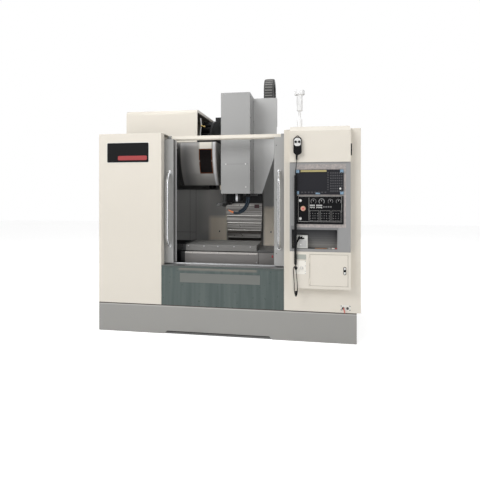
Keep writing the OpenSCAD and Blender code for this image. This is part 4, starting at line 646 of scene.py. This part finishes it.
# The covers' left end is painted near black: painted shade.
paint(cover_mat, (0.006, 0.006, 0.007), x=shade_x)
give(soften("table_way_covers", 0.001), cover_mat)
screw_x = (-0.44, -0.268, -0.119, 0.053, 0.225)
table_screws = spun("table_screws", [(x, -0.7, 0.842) for x in screw_x],
                    screw_profile(0.0065, 0.003))
fit(table_screws, ground_steel, "table")
saddle_y = -0.715
saddle_strip = plates("saddle_strip", [(-0.471, 0.3, 0.765, 0.7835)], saddle_y, 0.002, r=0.002)
fit(saddle_strip, shader("saddle_strip", (0.42, 0.4, 0.38), rough=0.3, metal=0.5),
    "saddle")
saddle_seam = plates("saddle_seam", [(0.3085, 0.3125, 0.51, 0.783)], saddle_y, 0.0006, r=0.001,
                     edge=0.0003)
fit(saddle_seam, black_plastic, "saddle")
saddle_screw = spun("saddle_screw", [(0.291, saddle_y, 0.686)], screw_profile(0.0065, 0.003))
fit(saddle_screw, ground_steel, "saddle")
saddle_mark = plates("saddle_mark", [(0.447, 0.463, 0.738, 0.764)], saddle_y, 0.001, edge=0.0005)
fit(saddle_mark, red_plastic, "saddle")


# Tool magazine: cream covers, black disc and pots, a tinted window with rusty-brown edges in the
# drum. The drum's cream is painted darker as painted shade, with a painted pool of light at its
# top, a painted highlight near its right end and a painted shadow at its left edge. Behind the open
# end of the upper cover hang a pale hose and some fittings.
give(soften("magazine_cover", 0.002), cream_paint)
# The drum's cream is painted in a dark grey: painted shade.
drum_light_and_shade = shader("drum_cream_painted_shade", (0.3, 0.29, 0.275), rough=0.4, coat=0.15, bump=0.04, mottle=0.03)
# A pale cream patch at the top is a painted pool of light.
paint(drum_light_and_shade, (0.78, 0.74, 0.66), x=(-0.375, -0.235), z=(1.87, 2.0), soft=0.02)
# Darker towards the left: painted shade.
paint(drum_light_and_shade, (0.13, 0.13, 0.135), share=0.7, x=(-0.6, -0.47), z=(1.4, 2.0), soft=0.12)
# A pale band near the right end is a painted highlight.
paint(drum_light_and_shade, (0.75, 0.75, 0.77), share=0.8, x=(-0.222, -0.198), z=(1.4, 2.0), soft=0.008)
# A near-black band at the left edge is a painted shadow.
paint(drum_light_and_shade, (0.03, 0.03, 0.03), x=(-0.64, -0.592), z=(1.4, 2.0), soft=0.006)
give(soften("drum_cover", 0.0015), drum_light_and_shade)
window_mat = shader("tinted_glass", (0.13, 0.045, 0.02), rough=0.3, shine=0.05)
paint(window_mat, (0.006, 0.004, 0.004), rough=0.2, x=(-0.371, -0.239), z=(1.628, 1.879),
      soft=0.003)
for x in (-0.378, -0.237):
    paint(window_mat, (0.3, 0.28, 0.26), x=(x, x + 0.006), z=(1.745, 1.765))
give(nodes["drum_window"], window_mat)
frame_mat = shader("magazine_black", (0.014, 0.0145, 0.015), rough=0.55, bump=0.06, mottle=0.1,
                   shine=0.2)
paint(frame_mat, (0.12, 0.12, 0.119), x=(-0.7, -0.1), z=(1.2, 1.475), soft=0.004)
give(soften("magazine_frame", 0.001), frame_mat)
for node in ("magazine_disc", "change_pot"):
    give(soften(node, 0.0008), black_plastic)
for node in ("arm_shaft", "change_arm"):
    give(soften(node, 0.0008), frame_mat)
hose_path = smooth_route([(-0.4, -0.355, 2.25), (-0.392, -0.357, 2.19), (-0.395, -0.36, 2.13),
                          (-0.402, -0.357, 2.075), (-0.398, -0.35, 2.03)], 8)
pale_hose = tube("magazine_hose", hose_path, 0.008, sides=14)
fittings = spun("magazine_fittings", [(-0.374, -0.372, 2.16), (-0.345, -0.372, 2.15)],
                [(0.012, 0.0), (0.012, 0.02), (0.008, 0.024), (0.008, 0.034), (0.004, 0.036)])
fit(pale_hose, white_plastic)
fit(fittings, shader("brass", (0.55, 0.4, 0.14), rough=0.3, metal=0.8))


# Cable chain: a loop of black plastic links. Each link has two side plates and a grey cross bar,
# and the links are 30 mm long.
def strap(name, path, across, wide, thick):
    """A rounded rectangle swept along a path: its half width along the fixed direction and half
    thickness across it are given for each point, and its corners are a superellipse."""
    power, sides = 0.3, 24
    path = np.array(path, float)
    along = np.gradient(path, axis=0)
    along /= np.linalg.norm(along, axis=1)[:, None]
    across = np.array(across, float)
    normal = np.cross(along, across)
    a = np.linspace(0, 2 * np.pi, sides, endpoint=False) + np.pi / sides
    cs = np.sign(np.cos(a)) * np.abs(np.cos(a)) ** power
    sn = np.sign(np.sin(a)) * np.abs(np.sin(a)) ** power
    wide = np.broadcast_to(wide, (len(path),))
    thick = np.broadcast_to(thick, (len(path),))
    verts = (path[:, None] + (wide[:, None] * cs)[..., None] * across
             + (thick[:, None] * sn)[..., None] * normal[:, None]).reshape(-1, 3)
    n = len(path) * sides
    return mesh_piece(name, verts, grid_faces(len(path), sides).tolist()
                      + [list(range(sides)), list(range(n - sides, n))], False)


chain_x, chain_y, arch_z, arch_r = 0.3635, -0.02, 2.568, 0.15
leg_top, front_end, rear_end, link_pitch = 2.566, 2.2782, 2.1082, 0.03
bend = np.linspace(np.pi, 0, 190)
arch = np.stack([chain_y + arch_r * np.cos(bend), arch_z + arch_r * np.sin(bend)], -1)
front_leg = np.stack([np.full(110, chain_y - arch_r), np.linspace(front_end, leg_top, 110)], -1)
rear_leg = np.stack([np.full(170, chain_y + arch_r), np.linspace(leg_top, rear_end, 170)], -1)
chain_path = np.insert(np.vstack([front_leg, arch, rear_leg]), 0, chain_x, axis=1)
beat = np.cos(distances(chain_path) * 2 * np.pi / link_pitch)
chain_links = strap("chain_links", chain_path, (1, 0, 0), np.where(beat < -0.85, 0.0535, 0.0574),
                    np.where(beat < -0.85, 0.0265, 0.0285))
chain_bars = strap("chain_bars", chain_path, (1, 0, 0), 0.048, np.where(beat > 0.35, 0.0298, 0.02))
chain_black = shader("chain_black", (0.03, 0.029, 0.028), bump=0.05)
chain_grey = shader("chain_bar", (0.19, 0.185, 0.175), bump=0.05)
fit(chain_links, chain_black, "chain", "cable_chain")
fit(chain_bars, chain_grey, "chain", "cable_chain")


# Signal tower: a column of pale plastic lamps, clipped together on a slim foot. None of them
# is lit.
tower_mat = shader("tower_white", (0.9, 0.9, 0.9), rough=0.3, coat=0.3)
give(soften("signal_tower", 0.0008), tower_mat)


# Console: cream sheet-metal boxes above and below a grey panel. The panel has a recess for the
# plugs and a printed film round its keys, and a black grip sits on the box's side.
for node, width in (("console_box", 0.003), ("storage_door", 0.0015)):
    give(soften(node, width), cream_paint)
alcove_x, alcove_y = (0.66, 1.09), (-1.086, -0.98)
panel_grey = shader("panel_grey", (0.3, 0.3, 0.3), rough=0.55, bump=0.08, mottle=0.02)
# The recess is painted darker than the panel: painted shade.
paint(panel_grey, (0.19, 0.185, 0.175), x=alcove_x, y=alcove_y, z=(0.8, 1.075), soft=0.003)
# Layers of dark towards the top of the recess are painted shade.
for z in np.linspace(0.93, 1.055, 7):
    paint(panel_grey, (0.004, 0.005, 0.009), share=0.35, x=alcove_x, y=alcove_y, z=(z, 1.1),
          soft=0.006)
give(soften("operator_panel", 0.0015), panel_grey)
side_grip = plates("console_grip", [(1.2005, 1.2135, 1.748, 1.857)], -1.046, 0.022)
fit(side_grip, black_plastic)

panel_y = -1.088
bezel = plates("console_film", [(0.717, 1.159, 1.6175, 1.667), (1.1375, 1.159, 1.117, 1.617),
                                (0.717, 1.137, 1.3755, 1.3885), (0.717, 1.159, 1.085, 1.1165)],
               panel_y, 0.0012, r=0.001, edge=0.0004)
film_mat = shader("console_film", (0.46, 0.41, 0.39))
tint(film_mat, streaks(film_mat, (60.0, 60.0, 60.0), 0.35, 0.65, 4.0), (0.28, 0.27, 0.265),
     share=0.8)
fit(bezel, film_mat)


# Display unit: dark screen with a column and a row of soft keys, a block of dark keys on its
# right, a yellowish strip on top and blue-grey protectors on its corners.
display_y = -1.102
display_dark = shader("display_dark", (0.018, 0.018, 0.022), rough=0.45, shine=0.15)
give(soften("display_unit", 0.0012), display_dark)
screen = plates("screen", [(0.7465, 0.9825, 1.4275, 1.5965)], -1.092, 0.0012, edge=0.0005)
screen_mat = shader("screen_glass", (0.018, 0.018, 0.023), rough=0.2, shine=0.35)
tint(screen_mat, streaks(screen_mat, (9.0, 1.0, 11.0), 0.45, 0.62), (0.04, 0.038, 0.044), share=0.6)
fit(screen, screen_mat)
strip = plates("screen_strip", [(0.75, 0.985, 1.596, 1.613)], display_y, 0.001, edge=0.0004)
fit(strip, shader("strip_yellow", (0.42, 0.36, 0.16), rough=0.45))
corners = plates("screen_corners", [(0.706, 0.738, 1.588, 1.616), (1.106, 1.136, 1.588, 1.616),
                                    (0.706, 0.736, 1.39, 1.42), (1.106, 1.136, 1.39, 1.418),
                                    (0.886, 0.926, 1.3915, 1.407)], display_y, 0.0012, r=0.005,
                 edge=0.0005)
fit(corners, shader("corner_blue", (0.2, 0.31, 0.42), rough=0.4))
soft_keys = [(0.992, 1.004, z - 0.0065, z + 0.0065) for z in np.linspace(1.435, 1.588, 8)]
soft_keys += [(x - 0.008, x + 0.008, 1.403, 1.416) for x in np.linspace(0.764, 0.975, 8)]
key_x, key_z = np.meshgrid(np.linspace(1.024, 1.12, 6), np.linspace(1.42, 1.585, 8))
key_places = list(zip(key_x.ravel(), key_z.ravel()))
letter_keys = [(x - 0.0065, x + 0.0065, z - 0.008, z + 0.008) for x, z in key_places]
keys = plates("display_keys", soft_keys + letter_keys, display_y, 0.002, r=0.0022, edge=0.0006,
              bend=3)
key_mat = shader("display_key", (0.022, 0.022, 0.026), rough=0.4)
fit(keys, key_mat)
key_spots = [(x - 0.0035, x + 0.0035, z - 0.0028, z + 0.0028) for x, z in key_places]
key_spots += [(x0 + 0.003, x1 - 0.003, z0 + 0.0045, z1 - 0.0045) for x0, x1, z0, z1 in soft_keys]
key_faces = plates("display_key_faces", key_spots, -1.104, 0.0003, r=0.001, edge=0.0001, bend=2)
fit(key_faces, shader("key_grey", (0.1, 0.1, 0.11)))
power_key = spun("display_power_key", [(1.107, display_y, 1.443)],
                 [(0.0085, 0.0), (0.0085, 0.002), (0.007, 0.003)])
fit(power_key, white_plastic)


# Machine panel: black plate with a pale outline. It has white start and stop buttons, four
# selectors with pale scales, two rows of pale keys and three blocks of dark keys with marks.
black_panel = shader("black_panel", (0.006, 0.006, 0.007), rough=0.45, shine=0.08)
give(soften("machine_panel", 0.0008), black_panel)
y_face = -1.096
lines = [(0.728, 1.121, 1.3695, 1.3715), (0.728, 1.121, 1.1385, 1.1405),
         (0.728, 0.73, 1.1385, 1.3715), (1.119, 1.121, 1.1385, 1.3715),
         (0.8255, 0.8275, 1.15, 1.36)]
for x0, x1 in ((0.834, 0.917), (0.928, 1.018), (1.032, 1.112)):
    lines += [(x0, x0 + 0.0012, 1.15, 1.24), (x1 - 0.0012, x1, 1.15, 1.24),
              (x0, x1, 1.2395, 1.2407), (x0, x1, 1.1493, 1.1505)]
outline = plates("panel_lines", lines, y_face, 0.0004, r=0.0005, edge=0.0002, bend=2)
fit(outline, shader("panel_line", (0.62, 0.61, 0.59)))
pale_boxes = [(x - 0.0042, x + 0.0042, z - 0.0065, z + 0.0065) for z in (1.289, 1.269)
              for x in (0.8395, 0.851, 0.8625, 0.874, 0.897, 0.908, 0.919, 0.93, 0.941)]
pale_keys = plates("pale_keys", pale_boxes, y_face, 0.0022, r=0.0012, edge=0.0005, bend=3)
fit(pale_keys, shader("pale_key", (0.6, 0.6, 0.59), rough=0.45))
dot_x = [x + i * 0.022 for x in (0.838, 0.942, 1.046) for i in range(4) if x + i * 0.022 < 1.115]
key_dots = [(x - 0.0022, x + 0.0022, z - 0.0016, z + 0.0016)
            for x in dot_x for z in (1.1493, 1.1713, 1.1933, 1.2153)]
marks = plates("key_marks", key_dots, -1.099, 0.0003, r=0.0008, edge=0.0001, bend=2)
fit(marks, shader("key_mark", (0.8, 0.8, 0.8)))
arc = np.linspace(-0.75 * np.pi, 0.75 * np.pi, 30)
knob_z = 1.326
for i, (x, r) in enumerate(((0.868, 0.023), (0.941, 0.024), (1.02, 0.021), (1.091, 0.021))):
    ring = [x + r * np.sin(arc), np.full(30, y_face - 0.0002), knob_z + r * np.cos(arc)]
    scale_ring = tube(f"knob_scale_{i + 1}", np.stack(ring, -1), 0.0024 if i == 1 else 0.0013,
                      sides=8, squash=0.3)
    fit(scale_ring, shader(f"knob_scale_{i + 1}", (0.42, 0.42, 0.42)))
pointers = plates("knob_pointers", [(0.866, 0.869, 1.327, 1.339), (1.0895, 1.0925, 1.327, 1.339)],
                  -1.118, 0.0004, r=0.0008, edge=0.0002, bend=2)
fit(pointers, white_plastic)
buttons = spun("white_buttons", [(0.748, y_face, 1.333), (0.748, y_face, 1.167)],
               [(0.0145, 0.0), (0.0145, 0.0045), (0.013, 0.0052), (0.0098, 0.0055),
                (0.0098, 0.0112), (0.008, 0.0125)])
fit(buttons, white_plastic)
round_keys = spun("round_keys", [(x, y_face, 1.276) for x in (0.961, 0.982, 1.003, 1.024)],
                  [(0.0078, 0.0), (0.0078, 0.002), (0.0066, 0.0028), (0.006, 0.002)])
fit(round_keys, shader("round_key", (0.16, 0.16, 0.16), rough=0.4))
for node, x in (("feed_knob", 0.94), ("spindle_knob", 1.021)):
    give(soften(node, 0.0008), black_plastic)
    line = plates(node + "_pointer", [(x - 0.0015, x + 0.0015, 1.327, 1.339)], -1.1202, 0.0004,
                  r=0.0008, edge=0.0002, bend=2)
    fit(line, white_plastic, node)
stop_mat = shader("stop_salmon", (0.66, 0.38, 0.31), rough=0.35, coat=0.3)
paint(stop_mat, (0.56, 0.1, 0.075), x=(0.763, 0.783), z=(1.25, 1.27), soft=0.008)
give(soften("emergency_stop", 0.001), stop_mat)
stop_collar = spun("stop_collar", [(0.773, y_face, 1.26)],
                   [(0.0245, 0.0), (0.0245, 0.001), (0.0235, 0.0015)])
fit(stop_collar, shader("collar", (0.35, 0.24, 0.1)))


# Alcove: a pale moulded socket box with a plug and its short black leads, under the keys. Odd
# cable ends lie on the floor of the recess.
plates_grey = shader("socket_white", (0.6, 0.6, 0.57), rough=0.45, coat=0.1)
give(soften("socket_plates", 0.001), plates_grey)
paint(plates_grey, (0.9, 0.87, 0.8), x=(0.69, 0.81), y=(-1.13, -1.09), z=(0.65, 0.79), soft=0.001)
paint(plates_grey, (0.82, 0.8, 0.75), x=(1.09, 1.23), z=(0.29, 0.38), soft=0.001)
paint(plates_grey, (0.3, 0.33, 0.28), share=0.7, x=(0.7, 0.81), y=(-1.11, -1.09), z=(0.785, 0.9),
      soft=0.02)
leads = ([(0.742, -1.09, 1.004), (0.736, -1.098, 0.992), (0.727, -1.106, 0.972),
          (0.717, -1.108, 0.945), (0.709, -1.106, 0.915), (0.704, -1.104, 0.885)],
         [(0.764, -1.09, 0.998), (0.752, -1.1, 0.99), (0.735, -1.108, 0.975),
          (0.722, -1.11, 0.955)],
         [(0.782, -1.089, 0.985), (0.762, -1.096, 0.982), (0.742, -1.102, 0.988),
          (0.728, -1.104, 0.998)])
for i, route in enumerate(leads):
    lead = tube(f"alcove_lead_{i + 1}", smooth_route(route, 6), 0.006)
    fit(lead, black_plastic)
cable_bits = [([(0.8, -1.06, 0.893), (0.85, -1.062, 0.893), (0.9, -1.066, 0.893),
                (0.95, -1.07, 0.893), (0.985, -1.066, 0.893)], 0.0045, (0.01, 0.008, 0.008)),
              ([(0.88, -1.078, 0.892), (0.925, -1.079, 0.892), (0.96, -1.078, 0.892),
                (0.99, -1.078, 0.892)],
               0.0035, (0.33, 0.18, 0.1)),
              ([(1.002, -1.076, 0.894), (1.022, -1.076, 0.894)], 0.0055, (0.4, 0.37, 0.34)),
              ([(1.032, -1.076, 0.894), (1.058, -1.076, 0.894)], 0.0058, (0.75, 0.68, 0.62)),
              ([(1.062, -1.078, 0.894), (1.082, -1.078, 0.894)], 0.0055, (0.35, 0.06, 0.05))]
for i, (route, r, shade) in enumerate(cable_bits):
    bit = tube(f"cable_bit_{i + 1}", smooth_route(route, 6), r)
    fit(bit, shader(f"cable_bit_{i + 1}", shade))
socket_face = plates("socket_face", [(0.735, 0.803, 0.905, 0.965)], panel_y, 0.002, r=0.004)
fit(socket_face, shader("socket_face", (0.48, 0.48, 0.47), rough=0.4))
socket_dot = spun("socket_dot", [(0.752, -1.09, 0.925)], screw_profile(0.006, 0.002))
fit(socket_dot, white_plastic)


# Small parts on the lower box and on the port plate: a key switch, domed screws, the storage
# door's lock, and metal ports with a painted lever. They are screwed or pressed into place.
key_switch = spun("key_switch", [(0.762, -1.109, 0.715)],
                  [(0.0155, 0.0), (0.0155, 0.002), (0.013, 0.003), (0.01, 0.003), (0.0095, 0.001)])
plate_spots = ((0.793, 0.733), (0.793, 0.683), (0.712, 0.774), (0.793, 0.774), (0.712, 0.662),
               (0.793, 0.662))
plate_screws = spun("plate_screws", [(x, -1.103, z) for x, z in plate_spots],
                    screw_profile(0.004, 0.002), sides=12)
port_screws = spun("port_screws", [(x, -1.003, z) for z in (0.352, 0.316) for x in (1.122, 1.201)],
                   screw_profile(0.005, 0.002), sides=12)
ports = spun("ports", [(1.138, -1.014, 0.334), (1.178, -1.014, 0.334)],
             [(0.012, 0.0), (0.0125, 0.0008), (0.007, 0.001)])
lever_path = smooth_route([(1.142, -1.016, 0.336), (1.146, -1.024, 0.322),
                           (1.15, -1.026, 0.304), (1.153, -1.022, 0.292)], 5)
lever = tube("port_lever", lever_path, 0.0055, sides=12, squash=0.6)
fit(key_switch, white_plastic)
fit(plate_screws, ground_steel)
fit(port_screws, dark_steel)
fit(ports, dark_steel)
fit(lever, shader("lever_salmon", (0.62, 0.16, 0.12), rough=0.4))
door_gap = [(0.833, 1.175, 0.8375, 0.8395), (0.833, 1.175, 0.5525, 0.5545),
            (0.833, 0.835, 0.5525, 0.8395), (1.173, 1.175, 0.5525, 0.8395)]
door_lines = plates("storage_door_edge", door_gap, -1.102, 0.0003, r=0.0005, edge=0.0001, bend=2)
fit(door_lines, shader("door_edge", (0.3, 0.27, 0.22)), "storage_door")
lock_rim = plates("storage_lock_rim", [(1.1345, 1.1595, 0.659, 0.733)], -1.1055, 0.001, r=0.0115,
                  edge=0.0004)
fit(lock_rim, black_plastic, "storage_door")
lock = plates("storage_lock", [(1.1395, 1.1545, 0.664, 0.728)], -1.1055, 0.0018, r=0.0072,
              edge=0.0008)
fit(lock, white_plastic, "storage_door")
lock_slot = plates("storage_lock_slot", [(1.1395, 1.1545, 0.686, 0.706)], -1.1073, 0.0006,
                   edge=0.0001)
fit(lock_slot, black_plastic, "storage_door")


# Hand pendant: white capsule with a black rim and two small black selectors, a black handwheel
# under them, and a wire hook on top.
give(soften("pendant", 0.002), black_plastic)
face = plates("pendant_face", [(0.6925, 0.7535, 1.832, 1.9065)], -1.134, 0.0022, r=0.024,
              edge=0.0015, bend=9)
fit(face, white_plastic)
selectors = spun("pendant_selectors", [(0.7085, -1.136, 1.871), (0.7395, -1.136, 1.871)],
                 [(0.0105, 0.0), (0.0105, 0.009), (0.009, 0.0102)])
fit(selectors, black_plastic)
loop_angle = np.linspace(-0.1 * np.pi, 1.1 * np.pi, 24)
hook = tube("pendant_hook", np.stack([0.723 + 0.017 * np.cos(loop_angle), np.full(24, -1.112),
                                      1.908 + 0.02 * np.sin(loop_angle)], -1), 0.003)
fit(hook, black_plastic)
give(soften("pendant_wheel", 0.0008), black_plastic)


# Levelling feet and coolant pump: dark steel pads under the bed and a blue painted pump at the
# tank. Both are hidden from the front, so they are plain.
give(soften("levelling_feet", 0.001), dark_steel)
pump_blue = shader("pump_blue", (0.06, 0.09, 0.13), rough=0.4, bump=0.08)
give(soften("coolant_pump", 0.0015), pump_blue)
